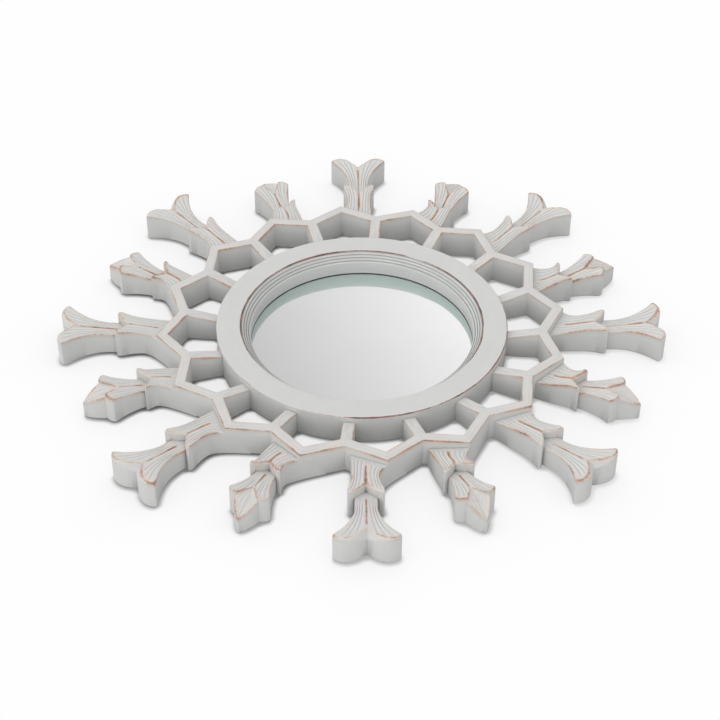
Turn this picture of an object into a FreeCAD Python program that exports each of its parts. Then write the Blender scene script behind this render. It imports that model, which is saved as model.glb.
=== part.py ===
"""Carved wooden sunburst mirror, lying on its back with its face up (+Z).

A turned centre ring frames a round mirror. Sixteen Y-shaped branches stand round
the ring and meet in mitres, so that their arms form a zigzag with sixteen open
cells. One arm of each branch carries a carved ray: forked and bud-ended rays take
turns. All lengths are in millimetres and z = 0 is the back of the wood.
"""
import FreeCAD
import Part
import math
import os

Vector = FreeCAD.Vector
ORIGIN = Vector(0, 0, 0)
UP = Vector(0, 0, 1)

# Pattern round the ring
ray_count = 16
button_count = 4
button_first_deg = 45.0

# Centre ring
ring_outer_radius = 146.5
ring_height = 30.5
ring_face_width = 24.8
ring_arris = 0.8
moulding_steps = 3
moulding_width = 9.0
moulding_drop = 6.2
moulding_riser = 1.2

# Mirror and what holds it in the rabbet
glass_thickness = 2.0
backing_thickness = 2.5
rabbet_width = 3.3
glass_edge_gap = 0.5
button_thickness = 1.4
button_width = 9.0
button_reach = 20.0
button_pivot_inset = 13.0
button_play = 0.1
button_bore_gap = 0.05
pocket_gap = 1.0
pocket_roof_gap = 0.3
button_screw_radius = 1.75
button_screw_depth = 12.0
button_head_radius = 3.6
button_head_thickness = 1.2
button_head_inset = 0.4

# Keyhole hanger plate let into the back of the ring, on its +Y side
plate_length = 44.0
plate_width = 20.0
plate_thickness = 2.0
plate_inset = 0.2
plate_gap = 0.2
keyhole_radius = 4.25
keyhole_slot_width = 4.4
keyhole_travel = 8.5
keyhole_drop = 2.75
cavity_radius = 5.5
cavity_depth = 8.0
plate_screw_spacing = 32.0
plate_screw_radius = 1.5
plate_head_radius = 3.2
plate_screw_depth = 8.0

# Lattice branches
lattice_height = 31.0
spoke_low_drop = 6.5
spoke_width = 11.5
spoke_reach = 39.8
zigzag_rise = 20.2
arm_width = 10.0

# Roots of the rays, where they sit against the lattice. Drops are down from its top.
root_margin = 4.8
root_flow = 6.0
wing_reach = 24.0
wing_shoulder_reach = 8.0
wing_top_reach = 2.0
leaf_root_drop = 6.0
leaf_waist_offset = 15.0
leaf_waist_half = 13.0
side_bevel = 0.8
shoulder_drop = 3.0
vein_width = 2.6
vein_depth = 1.5
vein_inset = 4.0

# Forked ray: an inner leaf and a two-lobed outer leaf, offsets beyond the zigzag peaks
fork_leaf_tip_offset = 40.0
fork_leaf_tip_half = 18.4
fork_leaf_tip_rise = 1.0
fork_leaf_bulge = -2.7
fork_leaf_lobe_half = 10.1
fork_leaf_notch = 11.2
fork_leaf_bevel = 1.2
fork_leaf_corner_bevel = 1.2
fork_root_offset = 15.0
fork_neck_offset = 44.0
fork_neck_half = 10.6
fork_neck_drop = 8.1
fork_mid_offset = 68.5
fork_mid_half = 14.4
fork_tip_offset = 92.5
fork_tip_half = 31.0
fork_tip_drop = 1.5
fork_bulge = 5.4
fork_lobe_half = 17.0
fork_notch = 3.5
fork_bevel = 3.4
fork_corner_bevel = 1.5
fork_notch_bevel = 5.5

# Bud ray: a shorter inner leaf, two petals and a pointed bud between them
bud_lean_deg = -0.8
bud_leaf_tip_offset = 25.0
bud_leaf_tip_half = 17.3
bud_leaf_bulge = -2.3
bud_leaf_lobe_half = 9.5
bud_leaf_notch = 9.2
bud_leaf_bevel = 1.2
bud_leaf_corner_bevel = 1.2
petal_root_offset = 11.0
petal_neck_offset = 30.0
petal_neck_half = 10.6
petal_neck_drop = 9.0
petal_mid_offset = 45.5
petal_mid_half = 14.6
petal_tip_offset = 58.0
petal_tip_half = 20.3
petal_tip_drop = 1.7
petal_end_offset = 64.5
petal_end_half = 10.5
petal_end_bulge = 1.2
petal_notch_offset = 49.5
petal_bevel = 1.6
petal_corner_bevel = 1.1
petal_node_offset = 47.2
bud_root_offset = 47.0
bud_root_drop = 4.45
bud_shoulder_offset = 63.5
bud_shoulder_half = 12.0
bud_side_offset = 74.2
bud_side_half = 7.8
bud_apex_offset = 83.8
bud_apex_drop = 13.2
bud_cup = 0.42

# Dowels and keys that the glued joints hide
glue_line = 0.1
hole_end_gap = 0.3
dowel_radius = 3.0
dowel_height = 12.0
spoke_dowel_in_ring = 10.0
spoke_dowel_in_spoke = 12.0
ray_dowel_in_arm = 6.5
ray_dowel_in_ray = 13.0
ray_dowel_from_peak = 12.1
ray_dowel_spacing = 12.5
ray_dowel_count = 2
key_length = 8.0
key_width = 5.0
key_thickness = 3.0

# Sizes that follow from the ones above
pitch_deg = 360.0 / ray_count
spoke_offset_deg = pitch_deg / 4.0
ring_face_radius = ring_outer_radius - ring_face_width
sight_radius = ring_face_radius - moulding_width
rabbet_radius = sight_radius + rabbet_width
disc_radius = rabbet_radius - glass_edge_gap
button_bottom = button_head_inset + button_head_thickness + button_play
button_top = button_bottom + button_thickness
backing_bottom = button_top + button_play
glass_bottom = backing_bottom + backing_thickness
glass_top = glass_bottom + glass_thickness
pocket_roof = button_top + pocket_roof_gap
pivot_radius = rabbet_radius + button_pivot_inset
plate_radius = (rabbet_radius + ring_outer_radius) / 2.0
plate_top = plate_inset + plate_thickness
spoke_low_height = lattice_height - spoke_low_drop
leaf_root_height = lattice_height - leaf_root_drop
fork_leaf_tip_height = lattice_height + fork_leaf_tip_rise
fork_neck_height = lattice_height - fork_neck_drop
fork_tip_height = lattice_height - fork_tip_drop
bud_leaf_tip_height = lattice_height
petal_neck_height = lattice_height - petal_neck_drop
petal_tip_height = lattice_height - petal_tip_drop
bud_root_height = lattice_height - bud_root_drop
bud_apex_height = lattice_height - bud_apex_drop
valley_radius = ring_outer_radius + spoke_reach
peak_radius = valley_radius + zigzag_rise


def polar(radius, degrees, z=0.0):
    """Point at a radius and an angle round the centre."""
    angle = math.radians(degrees)
    return Vector(radius * math.cos(angle), radius * math.sin(angle), z)


def turned(shape, degrees):
    """Copy of a shape turned round the centre."""
    copy = shape.copy()
    copy.rotate(ORIGIN, UP, degrees)
    return copy


def one_solid(shape):
    """Merge faces that lie in one plane and return the single solid."""
    return shape.removeSplitter().Solids[0]


def curve(poles):
    """Edge with these poles: a line for two of them, a smooth arc for three."""
    bezier = Part.BezierCurve()
    bezier.setPoles(poles)
    return bezier.toShape()


def through(start, middle, end):
    """Poles of a smooth arc from start to end that passes through middle."""
    return [start, middle * 2.0 - (start + end) * 0.5, end]


def prism(points, bottom, top):
    """Upright solid over a plan polygon."""
    corners = [Vector(p.x, p.y, bottom) for p in points]
    wire = Part.makePolygon(corners + corners[:1])
    return Part.Face(wire).extrude(Vector(0, 0, top - bottom))


def obround(start, end, radius, bottom, top):
    """Upright solid with round ends centred on two plan points."""
    height = top - bottom
    run = end - start
    side = Vector(-run.y, run.x, 0).normalize() * radius
    body = prism([start + side, start - side, end - side, end + side], bottom, top)
    for centre in (start, end):
        body = body.fuse(Part.makeCylinder(radius, height, Vector(centre.x, centre.y, bottom)))
    return one_solid(body)


def slope(near_radius, near_height, far_radius, far_height):
    """Function that gives the height of a carved top, which rises or falls along the ray."""
    rate = (far_height - near_height) / (far_radius - near_radius)
    return lambda point: near_height + rate * (point.x - near_radius)


def mirrored(runs):
    """The other half of an outline, in the order that carries on round it."""
    return [[Vector(p.x, -p.y, 0) for p in reversed(run)] for run in reversed(runs)]


def outline(runs, height):
    """Closed wire over plan runs, lifted to the given height function."""
    edges = []
    for run in runs:
        edges.append(curve([Vector(p.x, p.y, height(p)) for p in run]))
    return Part.Wire(edges)


def leaf(base, shoulder, top, height):
    """Solid with upright sides, a bevelled shoulder and a sloping top."""
    wires = [
        outline(base, lambda point: 0.0),
        outline(shoulder, lambda point: height(point) - shoulder_drop),
        outline(top, height),
    ]
    return Part.makeLoft(wires, True, True)


def groove(start, end):
    """V-shaped cutter for the vein between two points on a carved top."""
    lift = vein_depth
    profile = [
        start + Vector(0, -vein_width, lift),
        start + Vector(0, vein_width, lift),
        start + Vector(0, 0, -vein_depth),
    ]
    face = Part.Face(Part.makePolygon(profile + profile[:1]))
    return face.extrude(end - start)


def lattice_corners(lean_deg):
    """Valley, peak and next valley of the zigzag as a ray's own axis sees them."""
    valley = polar(valley_radius, -spoke_offset_deg - lean_deg)
    peak = polar(peak_radius, spoke_offset_deg - lean_deg)
    next_valley = polar(valley_radius, pitch_deg - spoke_offset_deg - lean_deg)
    return valley, peak, next_valley


def root_line(lean_deg):
    """Two ends of the flat seat between a ray and its arm."""
    valley, peak, _ = lattice_corners(lean_deg)
    along = (peak - valley).normalize()
    return valley + along * root_margin, peak


def ray_dowel_frames(lean_deg):
    """Centre and direction, into the ray, of each dowel in the seat."""
    left, peak = root_line(lean_deg)
    along = (peak - left).normalize()
    outward = Vector(along.y, -along.x, 0)
    last = peak - along * ray_dowel_from_peak + Vector(0, 0, dowel_height)
    return [(last - along * (ray_dowel_spacing * index), outward) for index in range(ray_dowel_count)]


def seat_side(lean_deg, reach):
    """Root of an inner leaf: from its right waist round the seat to its left waist."""
    left, peak = root_line(lean_deg)
    _, _, next_valley = lattice_corners(lean_deg)
    wing = (next_valley - peak).normalize()
    waist = peak_radius + leaf_waist_offset
    half = leaf_waist_half
    corner = peak + wing * ((half - peak.y) / wing.y)
    start = peak + wing * reach
    return [
        [Vector(waist, half, 0), Vector(corner.x, half, 0), start],
        [start, peak],
        [peak, left],
        [left, Vector(left.x + root_flow, -half, 0), Vector(waist, -half, 0)],
    ]


def inner_leaf(lean_deg, tip_offset, tip_half, tip_height, lobe, notch, bevel, corner_bevel):
    """Inner leaf of a ray, from its seat on the arm to its two-lobed end.

    lobe gives how far each lobe reaches past the tip, or short of it, and how far it stands from the axis.
    """
    bulge, lobe_half = lobe
    waist = peak_radius + leaf_waist_offset
    tip = peak_radius + tip_offset
    flare = (waist + tip) / 2.0

    def half_end(inset, corner_inset, side):
        corner = Vector(tip - corner_inset, tip_half - side, 0)
        crown = Vector(tip + bulge - inset, lobe_half, 0)
        valley = Vector(tip - notch - inset, 0, 0)
        return [
            through(valley, crown, corner),
            [corner, Vector(flare, leaf_waist_half - side, 0), Vector(waist, leaf_waist_half, 0)],
        ]

    def whole(inset, corner_inset, side, reach):
        half = half_end(inset, corner_inset, side)
        return half + seat_side(lean_deg, reach) + mirrored(half)

    height = slope(peak_radius, leaf_root_height, tip, tip_height)
    solid = leaf(
        whole(0.0, 0.0, 0.0, wing_reach),
        whole(0.0, 0.0, 0.0, wing_shoulder_reach),
        whole(bevel, corner_bevel, side_bevel, wing_top_reach),
        height,
    )
    vein_start = Vector(peak_radius + vein_inset, 0, 0)
    vein_end = Vector(tip + bulge, 0, 0)
    vein_start.z = height(vein_start)
    vein_end.z = height(vein_end)
    return solid.cut(groove(vein_start, vein_end))


def fork_outer_leaf():
    """Outer leaf of a forked ray, which flares into two lobes with a notch between."""
    root = peak_radius + fork_root_offset
    neck = peak_radius + fork_neck_offset
    middle = peak_radius + fork_mid_offset
    tip = peak_radius + fork_tip_offset

    def half(inset, corner_inset, notch_inset, side):
        corner = Vector(tip - corner_inset, fork_tip_half - side, 0)
        crown = Vector(tip + fork_bulge - inset, fork_lobe_half, 0)
        valley = Vector(tip - fork_notch - notch_inset, 0, 0)
        neck_corner = Vector(neck, fork_neck_half - side, 0)
        return [
            through(valley, crown, corner),
            through(corner, Vector(middle, fork_mid_half - side, 0), neck_corner),
            [neck_corner, Vector(root, fork_neck_half - side, 0)],
        ]

    def whole(inset, corner_inset, notch_inset, side):
        right = half(inset, corner_inset, notch_inset, side)
        left = mirrored(right)
        return right + [[right[-1][-1], left[0][0]]] + left

    height = slope(neck, fork_neck_height, tip, fork_tip_height)
    sharp = whole(0.0, 0.0, 0.0, 0.0)
    bevelled = whole(fork_bevel, fork_corner_bevel, fork_notch_bevel, side_bevel)
    solid = leaf(sharp, sharp, bevelled, height)
    vein_start = Vector(neck + vein_inset, 0, 0)
    vein_end = Vector(tip, 0, 0)
    vein_start.z = height(vein_start)
    vein_end.z = height(vein_end)
    return solid.cut(groove(vein_start, vein_end))


def petals():
    """The pair of petals of a bud ray, with squared ends and a notch between."""
    root = peak_radius + petal_root_offset
    neck = peak_radius + petal_neck_offset
    middle = peak_radius + petal_mid_offset
    tip = peak_radius + petal_tip_offset
    end = peak_radius + petal_end_offset

    def half(valley_offset, inset, corner_inset, side):
        valley = Vector(peak_radius + valley_offset, 0, 0)
        square = Vector(end - inset, petal_end_half - side, 0)
        corner = Vector(tip - corner_inset, petal_tip_half - side, 0)
        crown = (square + corner) * 0.5 + Vector(petal_end_bulge, petal_end_bulge, 0)
        neck_corner = Vector(neck, petal_neck_half - side, 0)
        return [
            [valley, square],
            through(square, crown, corner),
            through(corner, Vector(middle, petal_mid_half - side, 0), neck_corner),
            [neck_corner, Vector(root, petal_neck_half - side, 0)],
        ]

    def whole(valley_offset, inset, corner_inset, side):
        right = half(valley_offset, inset, corner_inset, side)
        left = mirrored(right)
        return right + [[right[-1][-1], left[0][0]]] + left

    height = slope(neck, petal_neck_height, tip, petal_tip_height)
    sharp = whole(petal_notch_offset, 0.0, 0.0, 0.0)
    bevelled = whole(petal_node_offset, petal_bevel, petal_corner_bevel, side_bevel)
    solid = leaf(sharp, sharp, bevelled, height)
    vein_start = Vector(neck, 0, 0)
    vein_end = Vector(peak_radius + petal_notch_offset, 0, 0)
    vein_start.z = height(vein_start)
    vein_end.z = height(vein_end)
    return solid.cut(groove(vein_start, vein_end))


def bud_tip():
    """Pointed bud that stands beyond the petals, falls away towards its apex and is cupped along its axis."""
    root = Vector(peak_radius + bud_root_offset, 0, 0)
    shoulder = Vector(peak_radius + bud_shoulder_offset, bud_shoulder_half, 0)
    flank = Vector(peak_radius + bud_side_offset, bud_side_half, 0)
    apex = Vector(peak_radius + bud_apex_offset, 0, 0)
    half = [through(apex, flank, shoulder), [shoulder, root]]
    plan = Part.Face(outline(half + mirrored(half), lambda point: 0.0))
    solid = plan.extrude(Vector(0, 0, lattice_height))
    fall = slope(root.x, bud_root_height, apex.x, bud_apex_height)
    across = Vector(0, 2.0 * bud_shoulder_half, 0)
    for side in (1.0, -1.0):
        corners = [root, apex, apex + across * side, root + across * side]
        lifted = [Vector(p.x, p.y, fall(p) + bud_cup * abs(p.y)) for p in corners]
        waste = Part.Face(Part.makePolygon(lifted + lifted[:1])).extrude(Vector(0, 0, lattice_height))
        solid = solid.cut(waste)
    return one_solid(solid)


def drilled_ray(solid, lean_deg):
    """Ray with the dowel holes in its seat."""
    for centre, outward in ray_dowel_frames(lean_deg):
        depth = ray_dowel_in_ray + hole_end_gap
        solid = solid.cut(Part.makeCylinder(dowel_radius + glue_line, depth, centre, outward))
    return one_solid(solid)


def fork_ray():
    """Forked ray with its axis along +X."""
    lean = 0.0
    lobe = (fork_leaf_bulge, fork_leaf_lobe_half)
    solid = inner_leaf(lean, fork_leaf_tip_offset, fork_leaf_tip_half, fork_leaf_tip_height,
                       lobe, fork_leaf_notch, fork_leaf_bevel, fork_leaf_corner_bevel)
    return drilled_ray(solid.fuse(fork_outer_leaf()), lean)


def bud_ray():
    """Bud ray with its axis along +X."""
    lean = bud_lean_deg
    lobe = (bud_leaf_bulge, bud_leaf_lobe_half)
    solid = inner_leaf(lean, bud_leaf_tip_offset, bud_leaf_tip_half, bud_leaf_tip_height,
                       lobe, bud_leaf_notch, bud_leaf_bevel, bud_leaf_corner_bevel)
    return drilled_ray(solid.fuse(petals()).fuse(bud_tip()), lean)


def branch():
    """Y-shaped branch of the lattice with its spoke along +X."""
    half_pitch = pitch_deg / 2.0
    half_spoke = spoke_width / 2.0
    valley = Vector(valley_radius, 0, 0)
    peak = polar(peak_radius, half_pitch)
    along = (peak - valley).normalize()
    inward = Vector(-along.y, along.x, 0) * arm_width
    inner_valley = valley + inward
    crotch = inner_valley + along * ((half_spoke - inner_valley.y) / along.y)
    mitre = polar(1.0, half_pitch)
    across = inner_valley.x * mitre.y - inner_valley.y * mitre.x
    inner_peak = inner_valley + along * (across / (along.y * mitre.x - along.x * mitre.y))
    foot = Vector(ring_face_radius, half_spoke, 0)
    right = [foot, crotch, inner_peak, peak]
    left = [Vector(p.x, -p.y, 0) for p in reversed(right)]
    solid = prism(right + [valley] + left, 0.0, lattice_height)
    solid = solid.cut(Part.makeCylinder(ring_outer_radius + glue_line, lattice_height))
    rate = (lattice_height - spoke_low_height) / (crotch.x - ring_outer_radius)
    low = Vector(ring_face_radius, 0, spoke_low_height - rate * ring_face_width)
    dip = [low, Vector(crotch.x, 0, lattice_height), Vector(ring_face_radius, 0, lattice_height)]
    dip = [point - Vector(0, spoke_width, 0) for point in dip]
    wedge = Part.Face(Part.makePolygon(dip + dip[:1])).extrude(Vector(0, 2.0 * spoke_width, 0))
    solid = solid.cut(wedge)
    hole_radius = dowel_radius + glue_line
    foot_hole = Vector(ring_face_radius, 0, dowel_height)
    reach = ring_face_width + spoke_dowel_in_spoke + hole_end_gap
    solid = solid.cut(Part.makeCylinder(hole_radius, reach, foot_hole, Vector(1, 0, 0)))
    for centre, outward in ray_dowel_frames(0.0):
        depth = ray_dowel_in_arm + hole_end_gap
        hole = Part.makeCylinder(hole_radius, depth, centre, outward * -1.0)
        solid = solid.cut(turned(hole, spoke_offset_deg))
    slot = mitre_key(hole_end_gap, glue_line)
    solid = solid.cut(turned(slot, half_pitch)).cut(turned(slot, -half_pitch))
    return one_solid(solid)


def mitre_centre_radius():
    """Radius of the middle of a mitre face."""
    half_pitch = pitch_deg / 2.0
    valley = Vector(valley_radius, 0, 0)
    peak = polar(peak_radius, half_pitch)
    along = (peak - valley).normalize()
    mitre = polar(1.0, half_pitch)
    sine = mitre.x * along.y - mitre.y * along.x
    return peak_radius - arm_width / sine / 2.0


def mitre_key(end_gap, side_gap):
    """Flat key across the mitre at angle zero, with gaps at its ends and sides for its slot."""
    length = key_length + 2.0 * end_gap
    width = key_width + 2.0 * side_gap
    thickness = key_thickness + 2.0 * side_gap
    corner = Vector(mitre_centre_radius() - width / 2.0, -length / 2.0, dowel_height - thickness / 2.0)
    return Part.makeBox(width, length, thickness, corner)


def ring_profile():
    """Half section of the centre ring, with its stepped inner moulding."""
    points = [
        Vector(rabbet_radius, 0, 0),
        Vector(ring_outer_radius, 0, 0),
        Vector(ring_outer_radius, 0, ring_height - ring_arris),
        Vector(ring_outer_radius - ring_arris, 0, ring_height),
        Vector(ring_face_radius, 0, ring_height),
    ]
    tread = moulding_width / moulding_steps
    fall = moulding_drop / moulding_steps
    for step in range(moulding_steps):
        radius = ring_face_radius - step * tread
        height = ring_height - step * fall - moulding_riser
        points.append(Vector(radius, 0, height))
        points.append(Vector(radius - tread, 0, height - fall + moulding_riser))
    points.append(Vector(sight_radius, 0, glass_top))
    points.append(Vector(rabbet_radius, 0, glass_top))
    return points


def plate_ends(spread):
    """Two plan points on the hanger plate's long axis, this far from its middle."""
    return Vector(-spread, plate_radius, 0), Vector(spread, plate_radius, 0)


def keyhole(hole_radius, slot_radius, bottom, top):
    """Round entry with a slot that leads away from the centre."""
    entry = Vector(0, plate_radius - keyhole_drop, 0)
    end = entry + Vector(0, keyhole_travel, 0)
    slot = obround(entry, end, slot_radius, bottom, top)
    hole = Part.makeCylinder(hole_radius, top - bottom, Vector(entry.x, entry.y, bottom))
    return slot.fuse(hole)


def plate_screw(gap):
    """Countersunk screw of the hanger plate at the origin, head down, with a gap for its hole."""
    radius = plate_screw_radius + gap
    head_height = plate_head_radius - plate_screw_radius
    head = Part.makeCone(plate_head_radius + gap, radius, head_height, Vector(0, 0, plate_inset))
    shank = Part.makeCylinder(radius, plate_thickness + plate_screw_depth, Vector(0, 0, plate_inset))
    return one_solid(head.fuse(shank))


def plate_screws(gap):
    """Both screws of the hanger plate, in place."""
    screws = []
    for centre in plate_ends(plate_screw_spacing / 2.0):
        screw = plate_screw(gap)
        screw.translate(centre)
        screws.append(screw)
    return screws


def button_screw():
    """Screw that a turn button pivots on, with its axis at the pivot radius on +X."""
    shank_top = pocket_roof + button_screw_depth
    shank_start = button_head_inset + button_head_thickness
    head_place = Vector(pivot_radius, 0, button_head_inset)
    shank_place = Vector(pivot_radius, 0, shank_start)
    head = Part.makeCylinder(button_head_radius, button_head_thickness, head_place)
    shank = Part.makeCylinder(button_screw_radius, shank_top - shank_start, shank_place)
    return one_solid(head.fuse(shank))


def turn_button():
    """Turn button that points from its pivot towards the centre and laps over the backing."""
    half = button_width / 2.0
    pivot = Vector(pivot_radius, 0, 0)
    toe = Vector(pivot_radius - button_reach + half, 0, 0)
    body = obround(pivot, toe, half, button_bottom, button_top)
    bore = Part.makeCylinder(button_screw_radius + button_bore_gap, button_thickness,
                             Vector(pivot_radius, 0, button_bottom))
    return one_solid(body.cut(bore))


def button_pocket():
    """Shallow pocket that lets a turn button swing a quarter turn either way."""
    radius = button_reach + pocket_gap
    disc = Part.makeCylinder(radius, pocket_roof, Vector(pivot_radius, 0, 0))
    outer = pivot_radius + button_width / 2.0 + pocket_gap
    keep = Part.makeBox(2.0 * radius, 2.0 * radius, pocket_roof, Vector(outer - 2.0 * radius, -radius, 0))
    return disc.common(keep)


def hanger_plate():
    """Oblong steel plate with a keyhole and two countersunk screw holes."""
    half = plate_width / 2.0
    start, end = plate_ends(plate_length / 2.0 - half)
    plate = obround(start, end, half, plate_inset, plate_top)
    plate = plate.cut(keyhole(keyhole_radius, keyhole_slot_width / 2.0, plate_inset, plate_top))
    for screw in plate_screws(glue_line):
        plate = plate.cut(screw)
    return one_solid(plate)


def centre_ring():
    """Turned ring with its rabbet, dowel holes, button pockets and hanger recess."""
    profile = ring_profile()
    section = Part.Face(Part.makePolygon(profile + profile[:1]))
    ring = section.revolve(ORIGIN, UP, 360)
    depth = spoke_dowel_in_ring + hole_end_gap
    start = Vector(ring_outer_radius - depth, 0, dowel_height)
    hole = Part.makeCylinder(dowel_radius + glue_line, 2.0 * depth, start, Vector(1, 0, 0))
    cutters = [turned(hole, index * pitch_deg - spoke_offset_deg) for index in range(ray_count)]
    pivot_hole = Part.makeCylinder(button_screw_radius + button_bore_gap, pocket_roof + button_screw_depth,
                                   Vector(pivot_radius, 0, 0))
    for angle in button_angles():
        cutters.append(turned(button_pocket(), angle))
        cutters.append(turned(pivot_hole, angle))
    half = plate_width / 2.0
    plate_start, plate_end = plate_ends(plate_length / 2.0 - half)
    cutters.append(obround(plate_start, plate_end, half + plate_gap, 0.0, plate_top))
    cutters.append(keyhole(cavity_radius, cavity_radius, 0.0, plate_top + cavity_depth))
    cutters += plate_screws(glue_line)
    for cutter in cutters:
        ring = ring.cut(cutter)
    return one_solid(ring)


def button_angles():
    """Angles of the turn buttons round the ring."""
    step = 360.0 / button_count
    return [button_first_deg + index * step for index in range(button_count)]


def disc(bottom, thickness):
    """Round sheet that drops into the rabbet."""
    return Part.makeCylinder(disc_radius, thickness, Vector(0, 0, bottom))


def spoke_dowels():
    """Dowels between the ring and the spokes."""
    start = Vector(ring_outer_radius - spoke_dowel_in_ring, 0, dowel_height)
    length = spoke_dowel_in_ring + spoke_dowel_in_spoke
    dowel = Part.makeCylinder(dowel_radius, length, start, Vector(1, 0, 0))
    return [turned(dowel, index * pitch_deg - spoke_offset_deg) for index in range(ray_count)]


def ray_dowels():
    """Dowels between the arms and the rays."""
    dowels = []
    length = ray_dowel_in_arm + ray_dowel_in_ray
    for index in range(ray_count):
        for centre, outward in ray_dowel_frames(0.0):
            start = centre - outward * ray_dowel_in_arm
            dowel = Part.makeCylinder(dowel_radius, length, start, outward)
            dowels.append(turned(dowel, index * pitch_deg))
    return dowels


def mitre_keys():
    """Keys across the mitres between neighbouring branches."""
    key = mitre_key(0.0, 0.0)
    return [turned(key, index * pitch_deg + spoke_offset_deg) for index in range(ray_count)]


def build():
    """All pieces by name, each in its place."""
    pieces = {"centre_ring": centre_ring()}
    stem = branch()
    fork = fork_ray()
    bud = bud_ray()
    for index in range(ray_count):
        number = index // 2 + 1
        angle = index * pitch_deg
        pieces["branch_%02d" % (index + 1)] = turned(stem, angle - spoke_offset_deg)
        if index % 2 == 0:
            pieces["fork_ray_%d" % number] = turned(fork, angle)
        else:
            pieces["bud_ray_%d" % number] = turned(bud, angle + bud_lean_deg)
    pieces["mirror_glass"] = disc(glass_bottom, glass_thickness)
    pieces["backing_board"] = disc(backing_bottom, backing_thickness)
    screw = button_screw()
    button = turn_button()
    for number, angle in enumerate(button_angles(), start=1):
        pieces["turn_button_%d" % number] = turned(button, angle)
    screws = [turned(screw, angle) for angle in button_angles()]
    pieces["turn_button_screws"] = Part.makeCompound(screws)
    pieces["hanger_plate"] = hanger_plate()
    pieces["hanger_screws"] = Part.makeCompound(plate_screws(0.0))
    pieces["spoke_dowels"] = Part.makeCompound(spoke_dowels())
    pieces["ray_dowels"] = Part.makeCompound(ray_dowels())
    pieces["mitre_keys"] = Part.makeCompound(mitre_keys())
    return pieces


os.makedirs("parts", exist_ok=True)
for name, shape in build().items():
    shape.exportStep("parts/%s.step" % name)
    facts = (name, shape.isValid(), len(shape.Solids), shape.Volume)
    print("%-20s valid %s, solids %d, volume %.0f mm3" % facts)
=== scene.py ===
"""Looks of a carved wooden sunburst mirror: worn grey chalk paint on a white studio floor.

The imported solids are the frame. The ring, branches, rays, mirror pane and back hardware are modelled
in their places, and the joinery that they hide keeps its solids. Sizes are written in millimetres.
"""
import logging
from collections.abc import Callable, Iterable, Iterator, Sequence
from dataclasses import dataclass, field
from enum import Enum
from functools import partial
from math import atan2, copysign, cos, exp, hypot, pi, radians, remainder, sin, sqrt, tan, tau

import bmesh
import bpy
from bmesh.types import BMEdge, BMesh, BMVert
from bpy.types import Material, Node, NodeSocket, NodeTree, Object
from mathutils import Matrix, Vector
from mathutils.kdtree import KDTree


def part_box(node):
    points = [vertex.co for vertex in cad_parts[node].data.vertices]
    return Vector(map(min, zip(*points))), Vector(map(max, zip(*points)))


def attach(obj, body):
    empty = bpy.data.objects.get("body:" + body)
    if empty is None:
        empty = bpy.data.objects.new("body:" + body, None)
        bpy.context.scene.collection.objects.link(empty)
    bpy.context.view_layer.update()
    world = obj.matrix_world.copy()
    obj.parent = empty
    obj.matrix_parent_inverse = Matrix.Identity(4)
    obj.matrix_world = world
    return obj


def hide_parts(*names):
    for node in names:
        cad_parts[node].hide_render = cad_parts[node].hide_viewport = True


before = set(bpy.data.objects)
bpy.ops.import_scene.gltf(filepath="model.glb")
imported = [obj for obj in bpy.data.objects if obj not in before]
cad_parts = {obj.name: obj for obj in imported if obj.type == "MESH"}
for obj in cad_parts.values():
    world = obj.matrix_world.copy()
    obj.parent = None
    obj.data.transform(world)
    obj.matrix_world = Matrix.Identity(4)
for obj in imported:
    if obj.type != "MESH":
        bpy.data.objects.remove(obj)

log = logging.getLogger("sunburst_mirror")

MM = 0.001
NEAR = 0.01
FAR = 1000.0
FRAME_BODY = "frame"
SMOOTH_ANGLE = radians(36.0)
FINE_TURN = 240
ROUND_SIDES = 64
HOLE_SIDES = 32
RUB_STEPS = 80
PIVOT_RADIUS = 129.0
BUTTON_ANGLES = (45.0, 135.0, 225.0, 315.0)
NOISE_RANGE = (0.3, 0.7)
MIX = "ShaderNodeMix"
MAP_RANGE = "ShaderNodeMapRange"
MATH = "ShaderNodeMath"
NOISE = "ShaderNodeTexNoise"
VECTOR_MATH = "ShaderNodeVectorMath"
RGBA = {"data_type": "RGBA"}
SMOOTH = {"interpolation_type": "SMOOTHSTEP"}
MULTIPLY = {"operation": "MULTIPLY"}
MULTIPLY_ADD = {"operation": "MULTIPLY_ADD"}
SCALE = {"operation": "SCALE"}

# Inputs of a map range after its value: from low, from high, to low, to high.
Ramp = tuple[float, float, float, float]
Triple = tuple[float, float, float]
Pair = tuple[float, float]


class Pick(Enum):
    """What a selection in edit mode takes."""

    VERT = "verts"
    EDGE = "edges"
    FACE = "faces"


class Join(Enum):
    """How two pieces become one."""

    UNION = "UNION"
    CUT = "DIFFERENCE"


class Slot(Enum):
    """Material slots."""

    PAINT = "painted_wood"
    MIRROR = "mirror"
    STEEL = "plated_steel"
    BRASS = "brass"


def clear_selection() -> None:
    """Leave edit mode and deselect everything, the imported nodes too."""
    if bpy.context.mode != "OBJECT":
        bpy.ops.object.mode_set(mode="OBJECT")
    bpy.ops.object.select_all(action="DESELECT")


def smoothstep(low: float, high: float, value: float) -> float:
    """Ease from 0 at low to 1 at high."""
    share = min(max((value - low) / (high - low), 0.0), 1.0)
    return share * share * (3.0 - 2.0 * share)


def flat(x: float, y: float = 0.0) -> Vector:
    """Plan point."""
    return Vector((x, y, 0.0))


def polar(radius: float, degrees: float) -> Vector:
    """Plan point at a radius and an angle round the centre."""
    angle = radians(degrees)
    return flat(radius * cos(angle), radius * sin(angle))


def bell(angle: float, centre: float, half: float) -> float:
    """Bell curve over an angle in radians, with its centre and half width in degrees."""
    away = remainder(angle - radians(centre), tau) / radians(half)
    return exp(-away * away)


def flipped(points: Iterable[Vector]) -> tuple[Vector, ...]:
    """The same points on the other side of the X axis."""
    return tuple(Vector((p.x, -p.y, p.z)) for p in points)


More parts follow.
